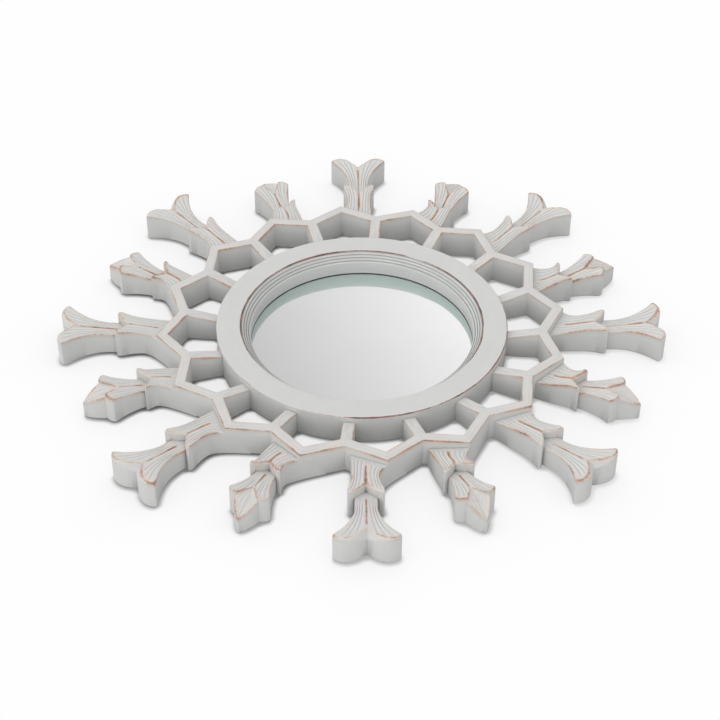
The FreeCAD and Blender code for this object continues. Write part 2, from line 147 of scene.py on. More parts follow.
def through(start: Vector, middle: Vector, end: Vector) -> tuple[Vector, ...]:
    """Poles of a smooth arc from start to end that passes through middle."""
    return (start, middle * 2.0 - (start + end) * 0.5, end)


class Bench:
    """One piece on the bench: a primitive that is shaped in edit mode and finished with modifiers."""

    def __init__(self, name: str, primitive: Callable[..., set[str]], **settings: object) -> None:
        """Add a primitive and open it for shaping.

        Args:
            name: Name of the piece.
            primitive: Operator that adds the primitive.
            settings: Settings of that operator, in metres.
        """
        clear_selection()
        primitive(**settings)
        self.piece: Object = bpy.context.active_object
        self.piece.name = name
        bpy.ops.object.transform_apply(location=True, rotation=True, scale=True)
        bpy.ops.object.mode_set(mode="EDIT")
        bpy.ops.mesh.select_all(action="DESELECT")

    def mesh(self) -> BMesh:
        """The mesh that is open for shaping."""
        return bmesh.from_edit_mesh(self.piece.data)

    def update(self) -> None:
        """Take over what was changed in the open mesh."""
        bmesh.update_edit_mesh(self.piece.data)

    def take_all(self) -> None:
        """Select the whole mesh."""
        bpy.ops.mesh.select_all(action="SELECT")

    def pick(self, kind: Pick, test: Callable[[object], bool]) -> None:
        """Select every vertex, edge or face that passes a test.

        Args:
            kind: What to select.
            test: Says for each one whether it is taken.
        """
        bpy.ops.mesh.select_mode(type=kind.name)
        bpy.ops.mesh.select_all(action="DESELECT")
        mesh = self.mesh()
        for item in getattr(mesh, kind.value):
            if test(item):
                item.select_set(True)
        mesh.select_flush_mode()
        self.update()

    def shift(self, step: Vector) -> None:
        """Move what is selected by a step in millimetres."""
        bpy.ops.transform.translate(value=step * MM)

    def bevel(self, width: float, segments: int) -> None:
        """Ease the selected edges by a width in millimetres."""
        bpy.ops.mesh.bevel(offset=width * MM, segments=segments, profile=0.5, affect="EDGES")

    def ease_rims(self, width: float, segments: int) -> None:
        """Ease the edges that run level by a width in millimetres."""
        self.pick(Pick.EDGE, lambda edge: abs(edge.verts[0].co.z - edge.verts[1].co.z) < NEAR * MM)
        self.bevel(width, segments)

    def extrude(self, height: float) -> None:
        """Draw the selected faces up by a height in millimetres."""
        bpy.ops.mesh.extrude_region_move(TRANSFORM_OT_translate={"value": (0.0, 0.0, height * MM)})

    def draw_out(self) -> BMesh:
        """Draw new edges out of the selected ones, and leave them selected where they are."""
        bpy.ops.mesh.extrude_edges_move(TRANSFORM_OT_translate={"value": (0.0, 0.0, 0.0)})
        return self.mesh()

    def draw_edge(self, start: tuple[Vector, Vector], end: tuple[Vector, Vector]) -> None:
        """Draw the edge between two points out to two others.

        Args:
            start: Ends of the edge, in millimetres.
            end: Where they are drawn to.
        """
        def touches(point: Vector, vert: BMVert) -> bool:
            """Whether a vertex lies at a point."""
            return (vert.co - point * MM).length < NEAR * MM

        self.pick(Pick.EDGE, lambda edge: all(any(touches(p, v) for v in edge.verts) for p in start))
        for vert in self.draw_out().verts:
            if vert.select:
                vert.co = end[0 if touches(start[0], vert) else 1] * MM
        self.update()

    def heal(self) -> None:
        """Merge doubles and turn every face outwards."""
        self.take_all()
        bpy.ops.mesh.remove_doubles(threshold=0.002 * MM)
        bpy.ops.mesh.normals_make_consistent(inside=False)

    def activate(self) -> None:
        """Close edit mode and make the piece the only one selected."""
        clear_selection()
        self.piece.select_set(True)
        bpy.context.view_layer.objects.active = self.piece

    def combine(self, other: Object, how: Join) -> None:
        """Join another piece to this one or cut it away, and use it up.

        Args:
            other: The piece to join or the cutter.
            how: Union or cut.
        """
        self.activate()
        modifier = self.piece.modifiers.new(how.name.lower(), "BOOLEAN")
        modifier.operation = how.value
        modifier.solver = "EXACT"
        modifier.object = other
        bpy.ops.object.modifier_apply(modifier=modifier.name)
        bpy.data.objects.remove(other)

    def finish(self) -> Object:
        """Shade the piece smooth between its sharp edges and put it down.

        Returns:
            The finished object.
        """
        self.activate()
        bpy.ops.object.shade_smooth_by_angle(angle=SMOOTH_ANGLE)
        clear_selection()
        return self.piece


def cylinder(name: str, centre: Sequence[float], radius: float, depth: float, sides: int = HOLE_SIDES,
             turn: Triple = (0.0, 0.0, 0.0)) -> Bench:
    """Put a cylinder on the bench, upright or turned by angles in radians. Its depth is its length."""
    return Bench(name, bpy.ops.mesh.primitive_cylinder_add, vertices=sides, radius=radius * MM,
                 depth=depth * MM, location=tuple(place * MM for place in centre), rotation=turn)


def obround(name: str, centre: Vector, run: Vector, radius: float, low: float, high: float) -> Bench:
    """Upright piece with two round ends, drawn out of a cylinder.

    Args:
        name: Name of the piece.
        centre: Plan point in its middle.
        run: Step from the middle to the centre of one round end.
        radius: Radius of the ends.
        low: Height of its underside.
        high: Height of its top.

    Returns:
        The piece on the bench.
    """
    place = Vector((centre.x, centre.y, (low + high) / 2.0))
    half_step = pi / ROUND_SIDES
    bench = cylinder(name, place, radius, high - low, ROUND_SIDES, (0.0, 0.0, half_step))
    for sign in (1.0, -1.0):
        bench.pick(Pick.VERT, lambda vert: (vert.co - place * MM).dot(run) * sign > 0.0)
        bench.shift(run * sign)
    return bench


def turned_copy(master: Object, name: str, degrees: float) -> Object:
    """Copy a piece, with its own mesh, and turn the copy round the centre.

    Args:
        master: The piece to copy.
        name: Name of the copy.
        degrees: Angle of the turn.

    Returns:
        The copy, with its place in its mesh.
    """
    copy = master.copy()
    copy.data = master.data.copy()
    copy.name = name
    copy.data.name = name
    copy.data.transform(Matrix.Rotation(radians(degrees), 4, "Z"))
    bpy.context.scene.collection.objects.link(copy)
    return copy


def joined(pieces: Sequence[Object], name: str) -> Object:
    """Join several objects into one piece.

    Args:
        pieces: The objects, which are used up.
        name: Name of the piece.

    Returns:
        The joined piece.
    """
    clear_selection()
    for piece in pieces:
        piece.select_set(True)
    bpy.context.view_layer.objects.active = pieces[0]
    bpy.ops.object.join()
    pieces[0].name = name
    pieces[0].data.name = name
    clear_selection()
    return pieces[0]


def mount(piece: Object, slot: Slot, *nodes: str, body: str = FRAME_BODY) -> None:
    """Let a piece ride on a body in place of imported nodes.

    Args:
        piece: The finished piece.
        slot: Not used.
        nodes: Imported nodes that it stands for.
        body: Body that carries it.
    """
    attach(piece, body)
    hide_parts(*nodes)
    log.info("%s: %d faces on %s", piece.name, len(piece.data.polygons), body)


def own_places(piece: Object) -> list[Vector]:
    """Where each vertex lies in the piece's own board, in metres."""
    return [vert.co.copy() for vert in piece.data.vertices]


def write_layers(piece: Object, **layers: Sequence[float] | Sequence[Vector]) -> None:
    """Store what the paint reads, with the piece's own places as its grain, so that it turns with the piece.

    Args:
        piece: The piece.
        layers: One number or place per vertex or per face corner, by the name of the attribute.
    """
    for name, values in {**layers, "grain": own_places(piece)}.items():
        kind, key = ("FLOAT_VECTOR", "vector") if isinstance(values[0], Vector) else ("FLOAT", "value")
        domain = "POINT" if len(values) == len(piece.data.vertices) else "CORNER"
        layer = piece.data.attributes.new(name, kind, domain)
        for item, value in zip(layer.data, values):
            setattr(item, key, value)


def srgb(code: str) -> tuple[float, float, float, float]:
    """Linear colour of an sRGB hex value."""
    channels = [int(code[place:place + 2], 16) / 255.0 for place in (1, 3, 5)]
    linear = [c / 12.92 if c <= 0.04045 else ((c + 0.055) / 1.055) ** 2.4 for c in channels]
    return (*linear, 1.0)


def feed(tree: NodeTree, node: Node, inputs: dict[int | str, object]) -> None:
    """Give the inputs of a node their values or links.

    Args:
        tree: Tree of the node.
        node: The node.
        inputs: Values or linked sockets, by the place or name of the input.
    """
    for key, value in inputs.items():
        if isinstance(value, NodeSocket):
            tree.links.new(value, node.inputs[key])
        else:
            node.inputs[key].default_value = value


def add_node(tree: NodeTree, kind: str, inputs: dict[int | str, object] | Sequence[object] = (),
             settings: dict[str, object] | None = None, out: int | str = 0) -> NodeSocket:
    """Add a node with its settings and links.

    Args:
        tree: Tree that gets the node.
        kind: Type of the node.
        inputs: Values or linked sockets, in order or by the place or name of the input.
        settings: Its properties.
        out: Place or name of the output that is wanted.

    Returns:
        That output.
    """
    node = tree.nodes.new(kind)
    for key, value in (settings or {}).items():
        setattr(node, key, value)
    feed(tree, node, inputs if isinstance(inputs, dict) else dict(enumerate(inputs)))
    return node.outputs[out]


def per_mm(size: float) -> float:
    """Scale of a texture whose features are about this many millimetres across."""
    return 1.0 / (size * MM)


@dataclass(frozen=True)
class Finish:
    """A finish: a material whose shader gets its looks from nodes."""

    name: str

    def looks(self, tree: NodeTree) -> dict[str, object]:
        """Build the nodes of the finish and give the values or sockets for the shader's inputs, by name."""
        raise NotImplementedError

    def material(self) -> Material:
        """Build the material.

        Returns:
            The material.
        """
        material = bpy.data.materials.new(self.name)
        material.use_nodes = True
        tree = material.node_tree
        feed(tree, tree.nodes["Principled BSDF"], self.looks(tree))
        return material


@dataclass(frozen=True)
class WornChalkPaint(Finish):
    """Grey chalk paint on carved wood, rubbed through at the arrises to a reddish ground.

    The face is an even matt grey with faint brush marks. Where it is rubbed, a cream edge of worn primer and
    painted highlight shows round the orange and red-brown ground, and the flat back is bare wood. Painted
    shade darkens its corners, sheltered sides and cuts, and a painted highlight lightens the crests of its
    cuts.
    """

    paint: str = "#D2D2D0"
    paint_shade: str = "#CACAC9"
    primer_and_highlight: str = "#D6CBC1"
    thin: str = "#C1B4A9"
    crest_highlight: str = "#DAD9D6"
    worn_bright: str = "#BE9982"
    worn_dark: str = "#9A7B6B"
    glaze_and_shade: str = "#C0C4C3"
    bare: str = "#C9A77E"
    bare_dark: str = "#A98258"
    patch: float = 34.0
    nick: float = 2.4
    cloud: float = 18.0
    ground: float = 11.0
    bristle: Triple = (48.0, 2.4, 2.4)
    fibre: Triple = (60.0, 2.2, 6.0)
    least: float = -0.2
    widest: float = 1.22
    nick_depth: float = 0.8
    soft: float = 0.7
    halo: float = 4.2
    halo_share: float = 0.62
    glaze_and_shade_share: float = 0.7
    crest_highlight_share: float = 0.8
    brush: float = 0.065
    brush_flat: float = 1.0
    # Reach and tone of the painted shade on sheltered sides and, with dust, in tight corners.
    shelter_shade_reach: float = 30.0
    shelter_shade_tone: float = 0.84
    corner: float = 4.0
    corner_dust_and_shade_tone: float = 0.5
    bare_below: float = 5.0
    roughness: float = 0.62
    sheen: float = 0.32
    worn_step: float = -1.2
    relief: float = 0.35
    relief_depth: float = 0.25

    def looks(self, tree: NodeTree) -> dict[str, object]:
        """Build the paint from the piece's worn, hollow, stroke and grain attributes."""
        add = partial(add_node, tree)
        place = add("ShaderNodeTexCoord", out="Object")
        worn = add("ShaderNodeAttribute", settings={"attribute_name": "worn"}, out="Fac")
        normal = add("ShaderNodeNewGeometry", out="Normal")
        facing = add("ShaderNodeSeparateXYZ", (normal,), out=2)
        level = add(MAP_RANGE, (facing, 0.2, 0.8, 0.0, 1.0))
        patches = add(NOISE, {"Vector": place, "Scale": per_mm(self.patch), "Detail": 2.0, "Roughness": 0.55})
        nicks = add(NOISE, {"Vector": place, "Scale": per_mm(self.nick), "Detail": 3.0, "Roughness": 0.6})
        reach = add(MAP_RANGE, (patches, 0.36, 0.66, self.least, self.widest))
        ragged = add(MAP_RANGE, (nicks, *NOISE_RANGE, -self.nick_depth / 2.0, self.nick_depth / 2.0))
        width = add(MATH, (reach, ragged), {"operation": "ADD"})
        spare = add(MATH, (width, worn), {"operation": "SUBTRACT"})
        rubbed = add(MAP_RANGE, (spare, -self.soft, self.soft, 0.0, 1.0), SMOOTH)
        # The cream edge round a rubbed place is worn primer and partly a painted highlight along the arris;
        # it is lighter on level faces.
        edge = add(MAP_RANGE, (spare, -self.halo, 0.2, 0.0, self.halo_share), SMOOTH)
        rim = add(MIX, {0: level, 6: srgb(self.thin), 7: srgb(self.primer_and_highlight)}, RGBA, out=2)
        haloed = add(MIX, {0: edge, 6: self.coat(tree, place, level), 7: rim}, RGBA, out=2)
        depth = add(NOISE, {"Vector": place, "Scale": per_mm(self.ground), "Detail": 3.0, "Roughness": 0.65})
        ruddy = add(MAP_RANGE, (depth, 0.42, 0.62, 0.0, 1.0))
        ground = add(MIX, {0: ruddy, 6: srgb(self.worn_bright), 7: srgb(self.worn_dark)}, RGBA, out=2)
        painted = add(MIX, {0: rubbed, 6: haloed, 7: ground}, RGBA, out=2)
        rough = add(MAP_RANGE, (nicks, *NOISE_RANGE, self.roughness - 0.06, self.roughness + 0.08))
        relief = add(MATH, (rubbed, self.worn_step, nicks), MULTIPLY_ADD)
        bump = add("ShaderNodeBump", {
            "Strength": self.relief, "Distance": self.relief_depth * MM, "Height": relief})
        return {"Base Color": self.with_bare_back(tree, self.dusted_and_shaded(tree, painted), facing),
                "Roughness": rough, "Specular IOR Level": self.sheen, "Normal": bump}

    def coat(self, tree: NodeTree, place: NodeSocket, level: NodeSocket) -> NodeSocket:
        """Colour of the sound paint, with glaze and painted shade in the cuts and a painted highlight on
        their crests.

        Args:
            tree: Tree of the material.
            place: Where each place is.
            level: How level it is.

        Returns:
            The colour.
        """
        add = partial(add_node, tree)
        hollow = add("ShaderNodeAttribute", settings={"attribute_name": "hollow"}, out="Fac")
        tone = add(NOISE, {"Vector": place, "Scale": per_mm(self.cloud), "Detail": 4.0, "Roughness": 0.6})
        even = add(MIX, {0: tone, 6: srgb(self.paint), 7: srgb(self.paint_shade)}, RGBA, out=2)
        brushed = add(VECTOR_MATH, {0: even, "Scale": self.brush_marks(tree, hollow, level)}, SCALE)
        # Glaze and painted shade darken the cuts, and a painted highlight lightens the crests beside them.
        cut = add(MATH, (hollow, 0.0), {"operation": "MAXIMUM"})
        deep = add(MATH, (cut, self.glaze_and_shade_share), MULTIPLY)
        high = add(MAP_RANGE, (hollow, 0.0, -1.0, 0.0, self.crest_highlight_share))
        highlighted_crests = add(MIX, {0: high, 6: brushed, 7: srgb(self.crest_highlight)}, RGBA, out=2)
        return add(MIX, {0: deep, 6: highlighted_crests, 7: srgb(self.glaze_and_shade)}, {**RGBA, "clamp_factor": False}, out=2)

    def dusted_and_shaded(self, tree: NodeTree, painted: NodeSocket) -> NodeSocket:
        """Darken the tight corners with dust and painted shade, and the sheltered sides with painted shade.

        Args:
            tree: Tree of the material.
            painted: Colour of the clean paint.

        Returns:
            The darkened colour.
        """
        add = partial(add_node, tree)
        # Painted shade, with some dust, in the tight corners, then painted shade on the sheltered sides.
        shut = add("ShaderNodeAmbientOcclusion", {"Distance": self.corner * MM}, {"samples": 8}, out="AO")
        corner_dust_and_shade = add(MAP_RANGE, (shut, 0.1, 0.6, self.corner_dust_and_shade_tone, 1.0))
        inner = add("ShaderNodeAmbientOcclusion", {"Distance": self.shelter_shade_reach * MM}, {"samples": 8}, out="AO")
        shelter_shade = add(MAP_RANGE, (inner, 0.22, 0.56, self.shelter_shade_tone, 1.0))
        tone = add(MATH, (corner_dust_and_shade, shelter_shade), MULTIPLY)
        return add(VECTOR_MATH, {0: painted, "Scale": tone}, SCALE)

    def brush_marks(self, tree: NodeTree, hollow: NodeSocket, level: NodeSocket) -> NodeSocket:
        """Fine light and dark streaks along each member, as a brush leaves them.

        Args:
            tree: Tree of the material.
            hollow: How hollow each place is, since the marks are strongest in mouldings.
            level: How level each place is, since the upright sides are even.

        Returns:
            The tone to multiply the paint by, about 1.
        """
        add = partial(add_node, tree)
        stroke = add("ShaderNodeAttribute", settings={"attribute_name": "stroke"}, out="Vector")
        drawn = add("ShaderNodeMapping", {"Vector": stroke, "Scale": tuple(map(per_mm, self.bristle))})
        bristles = add(NOISE, {"Vector": drawn, "Scale": 1.0, "Detail": 3.0, "Roughness": 0.55})
        swing = add(MAP_RANGE, (bristles, 0.32, 0.68, -self.brush, self.brush))
        share = add(MAP_RANGE, (hollow, 0.0, 0.3, self.brush_flat, 1.0))
        strength = add(MATH, (share, level), MULTIPLY)
        return add(MATH, (swing, strength, 1.0), MULTIPLY_ADD)

    def with_bare_back(self, tree: NodeTree, painted: NodeSocket, facing: NodeSocket) -> NodeSocket:
        """Leave the faces that look straight back as bare wood with long grain.

        Args:
            tree: Tree of the material.
            painted: Colour of the painted faces.
            facing: How far each face looks up, from -1 to 1.

        Returns:
            Colour of both.
        """
        add = partial(add_node, tree)
        grain = add("ShaderNodeAttribute", settings={"attribute_name": "grain"}, out="Vector")
        drawn = add("ShaderNodeMapping", {"Vector": grain, "Scale": tuple(map(per_mm, self.fibre))})
        streak = add(NOISE, {
            "Vector": drawn, "Scale": 1.0, "Detail": 5.0, "Roughness": 0.6, "Distortion": 0.5})
        wood = add(MIX, {0: streak, 6: srgb(self.bare), 7: srgb(self.bare_dark)}, RGBA, out=2)
        height = add("ShaderNodeSeparateXYZ", (grain,), out=2)
        back = add(MAP_RANGE, (facing, -0.8, -0.95, 0.0, 1.0))
        low = add(MAP_RANGE, (height, self.bare_below * MM, (self.bare_below - 1.0) * MM, 0.0, 1.0))
        bare = add(MATH, (back, low), MULTIPLY)
        return add(MIX, {0: bare, 6: painted, 7: wood}, RGBA, out=2)


@dataclass(frozen=True)
class Mottled(Finish):
    """A finish of two tones that a noise blends, with the same noise in its gloss and relief."""

    first: str = "#808080"
    second: str = "#808080"
    size: Triple = (1.0, 1.0, 1.0)
    detail: float = 3.0
    grit: float = 0.5
    distortion: float = 0.0
    metallic: float = 0.0
    roughness: Pair = (0.5, 0.5)
    relief: float = 0.0
    relief_depth: float = 0.2

    def looks(self, tree: NodeTree) -> dict[str, object]:
        """Build the tones, the gloss and the relief."""
        add = partial(add_node, tree)
        place = add("ShaderNodeTexCoord", out="Object")
        drawn = add("ShaderNodeMapping", {"Vector": place, "Scale": tuple(map(per_mm, self.size))})
        noise = add(NOISE, {
            "Vector": drawn, "Scale": 1.0, "Detail": self.detail, "Roughness": self.grit,
            "Distortion": self.distortion})
        colour = add(MIX, {0: noise, 6: srgb(self.first), 7: srgb(self.second)}, RGBA, out=2)
        low, high = self.roughness
        rough = low if low == high else add(MAP_RANGE, (noise, *NOISE_RANGE, low, high))
        looks = {"Base Color": colour, "Metallic": self.metallic, "Roughness": rough}
        if self.relief:
            looks["Normal"] = add("ShaderNodeBump", {
                "Strength": self.relief, "Distance": self.relief_depth * MM, "Height": noise})
        return looks


@dataclass(frozen=True)
class Hardboard(Mottled):
    """Pressed wood fibre board: brown, with short pale fibres in a fine relief."""

    name: str = "pressed_hardboard"
    first: str = "#7A5638"
    second: str = "#9A7650"
    size: Triple = (2.5, 2.5, 2.5)
    detail: float = 6.0
    grit: float = 0.7
    distortion: float = 1.2
    roughness: Pair = (0.75, 0.75)
    relief: float = 0.4


@dataclass(frozen=True)
class Beech(Mottled):
    """Turned beech: pale pinkish wood with short dark flecks along the grain."""

    name: str = "turned_beech"
    first: str = "#D9B98E"
    second: str = "#B98F62"
    size: Triple = (5.0, 5.0, 1.0)
    detail: float = 4.0
    grit: float = 0.6
    roughness: Pair = (0.6, 0.6)


@dataclass(frozen=True)
class Plating(Mottled):
    """Plated sheet metal: soft clouds of tone and an uneven gloss."""

    size: Triple = (4.0, 4.0, 4.0)
    detail: float = 5.0
    grit: float = 0.6
    metallic: float = 1.0


@dataclass(frozen=True)
class Silvering(Mottled):
    """Silver coat on the back of the glass, seen through it with a green cast, and very slightly uneven."""

    name: str = "mirror_silvering"
    first: str = "#EBF6F5"
    second: str = "#E6F2F0"
    size: Triple = (70.0, 70.0, 70.0)
    metallic: float = 1.0
    roughness: Pair = (0.0, 0.0)


@dataclass(frozen=True)
class FloatGlass(Finish):
    """Clear float glass: smooth, with a faint sea-green cast in its thickness."""

    name: str = "float_glass"
    tint: str = "#FBFFFD"
    ior: float = 1.52
    haze_size: float = 40.0
    haze_most: float = 0.004

    def looks(self, tree: NodeTree) -> dict[str, object]:
        """Build the clear glass, with faint polishing haze in its gloss."""
        add = partial(add_node, tree)
        place = add("ShaderNodeTexCoord", out="Object")
        haze = add(NOISE, {"Vector": place, "Scale": per_mm(self.haze_size), "Detail": 2.0})
        rough = add(MAP_RANGE, (haze, *NOISE_RANGE, 0.0, self.haze_most))
        return {"Roughness": rough, "Base Color": srgb(self.tint), "Transmission Weight": 1.0,
                "IOR": self.ior}


@dataclass(frozen=True)
class StudioPaper(Finish):
    """White paper that glows evenly for the camera, with a painted shadow where the object nearly touches it.
    """

    name: str = "studio_paper"
    white: str = "#D2D2D2"
    tilt: Triple = (-0.18, 0.3, 0.94)
    near: float = 7.0
    wide: float = 70.0
    left: Ramp = (-0.24, 0.0, 1.25, 0.92)
    right: Ramp = (0.06, 0.28, 1.0, 0.22)
    inward: Ramp = (0.2, 0.3, 0.86, 0.5)
    spread: Ramp = (0.22, 0.42, 0.68, 0.95)
    shut: float = 0.4
    darkest: float = 0.88
    fall: Ramp = (0.2, 1.0, 0.8, 0.99)

    def looks(self, tree: NodeTree) -> dict[str, object]:
        """Matt white, which lights the object from below."""
        return {"Base Color": srgb(self.white), "Roughness": 0.9, "Specular IOR Level": 0.0}

    def material(self) -> Material:
        """Build the paper: its glow for the camera and its matt white for all other rays.

        Returns:
            The material.
        """
        material = super().material()
        tree = material.node_tree
        add = partial(add_node, tree)
        glow = add("ShaderNodeEmission", {"Strength": self.glow(tree)})
        seen = add("ShaderNodeLightPath", out="Is Camera Ray")
        matt = tree.nodes["Principled BSDF"].outputs[0]
        mixed = add("ShaderNodeMixShader", (seen, matt, glow))
        feed(tree, tree.nodes["Material Output"], {"Surface": mixed})
        return material

    def glow(self, tree: NodeTree) -> NodeSocket:
        """How bright the paper is, with a painted shadow in the tight shade under the object.

        Args:
            tree: Tree of the material.

        Returns:
            The strength of the glow.
        """
        add = partial(add_node, tree)
        tilt = add("ShaderNodeCombineXYZ", self.tilt)
        near = add("ShaderNodeAmbientOcclusion", {
            "Distance": self.near * MM, "Normal": tilt}, {"samples": 12}, out="AO")
        wide = add("ShaderNodeAmbientOcclusion", {"Distance": self.wide * MM}, {"samples": 12}, out="AO")
        place = add("ShaderNodeTexCoord", out="Object")
        across = add("ShaderNodeSeparateXYZ", (place,), out=0)
        radius = add(VECTOR_MATH, (place,), {"operation": "LENGTH"}, out=1)
        left = add(MAP_RANGE, (across, *self.left))
        right = add(MAP_RANGE, (across, *self.right))
        inward = add(MAP_RANGE, (radius, *self.inward))
        spread = add(MAP_RANGE, (wide, *self.spread))
        side = add(MATH, (left, right), MULTIPLY)
        strong = add(MATH, (side, inward), MULTIPLY)
        depth = add(MATH, (strong, self.darkest), {"operation": "MINIMUM"})
        # Painted shadow: darkest where the object nearly touches the paper, stronger towards the left and the
        # middle.
        shut = add(MAP_RANGE, (near, self.shut, spread, 1.0, 0.0), SMOOTH)
        dark = add(MATH, (shut, depth), MULTIPLY)
        painted_contact_shadow = add(MATH, (1.0, dark), {"operation": "SUBTRACT"})
        # A faint painted shade round the object that fades away from it.
        fall = add(MAP_RANGE, (wide, *self.fall))
        return add(MATH, (painted_contact_shadow, fall), MULTIPLY)


@dataclass(frozen=True)
class Path:
    """Curves joined end to end in plan, each with its own share of the way."""

    runs: tuple[tuple[Vector, ...], ...]
    knots: tuple[float, ...]

    def at(self, share: float) -> Vector:
        """Point at a share of the way.

        Args:
            share: From 0 at the start to 1 at the end.

        Returns:
            The plan point in millimetres.
        """
        start = 0.0
        for run, stop in zip(self.runs, self.knots):
            if share <= stop or stop == self.knots[-1]:
                local = min(max((share - start) / (stop - start), 0.0), 1.0)
                break
            start = stop
        if len(run) == 2:
            return run[0].lerp(run[1], local)
        near = run[0].lerp(run[1], local)
        far = run[1].lerp(run[2], local)
        return near.lerp(far, local)


@dataclass(frozen=True)
class Patch:
    """Four plan paths round a leaf, and the blend that fills the space between them."""

    root: Path
    end: Path
    left: Path
    right: Path
    round_along: float = 0.012
    round_across: float = 0.035

    def eased(self, along: float, across: float) -> Pair:
        """Draw a place near one of the two end corners in, so that the corner is round.

        Args:
            along: Share of the way from root to end.
            across: Place from the left edge, -1, to the right edge, 1.

        Returns:
            The place to look up in its stead.
        """
        deep = 1.0 - (1.0 - along) / self.round_along
        wide = 1.0 - (1.0 - abs(across)) / self.round_across
        if deep <= 0.0 or wide <= 0.0:
            return along, across
        scale = max(deep, wide) / hypot(deep, wide)
        side = 1.0 - (1.0 - wide * scale) * self.round_across
        return 1.0 - (1.0 - deep * scale) * self.round_along, copysign(side, across)

    def at(self, along: float, across: float) -> Vector:
        """Plan point in the leaf.

        Args:
            along: Share of the way from the root, 0, to the end, 1.
            across: Place from the left edge, -1, to the right edge, 1.

        Returns:
            The plan point in millimetres.
        """
        along, across = self.eased(along, across)
        side = (across + 1.0) / 2.0
        sides = self.left.at(along).lerp(self.right.at(along), side)
        ends = self.root.at(side).lerp(self.end.at(side), along)
        near = self.root.at(0.0).lerp(self.root.at(1.0), side)
        far = self.end.at(0.0).lerp(self.end.at(1.0), side)
        return sides + ends - near.lerp(far, along)


@dataclass(frozen=True)
class Inset:
    """How far one level of a leaf is drawn in: at the crowns of its end, its corners, notch and sides."""

    end: float = 0.0
    corner: float = 0.0
    notch: float = 0.0
    side: float = 0.0


FULL = Inset()
FOOT = Inset(1.2, 1.2, 1.2, 1.2)


@dataclass(frozen=True)
class Slope:
    """Height of a carved top, which rises or falls evenly along the ray and may be cupped across it."""

    near_radius: float
    near_height: float
    far_radius: float
    far_height: float
    cup: float = 0.0

    def at(self, point: Vector) -> float:
        """Height over a plan point."""
        rate = (self.far_height - self.near_height) / (self.far_radius - self.near_radius)
        return self.near_height + rate * (point.x - self.near_radius) + self.cup * abs(point.y)


@dataclass(frozen=True)
class Carving:
    """Gouge cuts in the top of a leaf. Places across are shares of its half width."""

    flutes: tuple[float, ...]
    flute_half: float = 0.075
    flute_depth: float = 0.55
    reed_dip: float = 0.3
    vein_half: float = 0.095
    vein_depth: float = 1.2
    vein_start: float = 0.25
    vein_end: float = 1.0
    vein_fade: float = 0.08
    rise: Pair = (0.12, 0.36)
    end_fade: float = 0.9
    end_share: float = 0.45
    edge_rows: tuple[float, ...] = (0.955, 0.985, 1.0)
    glaze_and_shade: float = 1.0

    def rows(self) -> list[float]:
        """Places across, from -1 to 1, where the mesh needs a row of vertices."""
        cuts = (0.0, *self.flutes)
        half: list[float] = []
        for index, cut in enumerate(cuts):
            width = self.vein_half if index == 0 else self.flute_half
            last = index == len(cuts) - 1
            after = 1.0 if last else cuts[index + 1]
            half += [cut, cut + width / 2.0, cut + width, (cut + after) / 2.0]
            if last:
                half += [(cut + 3.0 * after) / 4.0, *self.edge_rows]
            else:
                half += [after - self.flute_half, after - self.flute_half / 2.0]
        return [-place for place in reversed(half[1:])] + half

    def cut(self, along: float, across: float) -> Pair:
        """Depth of the carving at a place in the leaf.

        Args:
            along: Share of the way from root to end.
            across: Place from the left edge, -1, to the right edge, 1.

        Returns:
            Depth in millimetres, and how hollow the place is, from -1 on a crest to 1 in a cut.
        """
        place = abs(across)
        fade = smoothstep(*self.rise, along)
        fade *= 1.0 - (1.0 - self.end_share) * smoothstep(self.end_fade, 1.0, along)
        cuts = (0.0, *self.flutes, 1.0)
        depth = 0.0
        for low, high in zip(cuts, cuts[1:]):
            if low <= place <= high:
                share = (place - low) / (high - low)
                depth = self.reed_dip * (2.0 * share - 1.0) ** 2 * fade
        gouge = max(max(0.0, 1.0 - abs(place - flute) / self.flute_half) for flute in self.flutes)
        vein = max(0.0, 1.0 - place / self.vein_half)
        vein *= smoothstep(self.vein_start, self.vein_start + self.vein_fade, along)
        vein *= 1.0 - smoothstep(self.vein_end, self.vein_end + self.vein_fade / 2.0, along)
        depth += gouge * self.flute_depth * fade
        depth = max(depth, vein * self.vein_depth)
        # The crest next to each flute takes a painted highlight.
        beside = min(abs(abs(place - flute) - self.flute_half) for flute in self.flutes)
        crest_highlight = max(0.0, 1.0 - 2.0 * beside / self.flute_half) * fade
        return depth, self.glaze_and_shade * (max(gouge * fade, vein) - crest_highlight)


@dataclass(frozen=True)
class RubbedLine:
    """A line on a piece where the paint is rubbed, with a bias that makes it weaker."""

    points: tuple[Vector, ...]
    bias: float


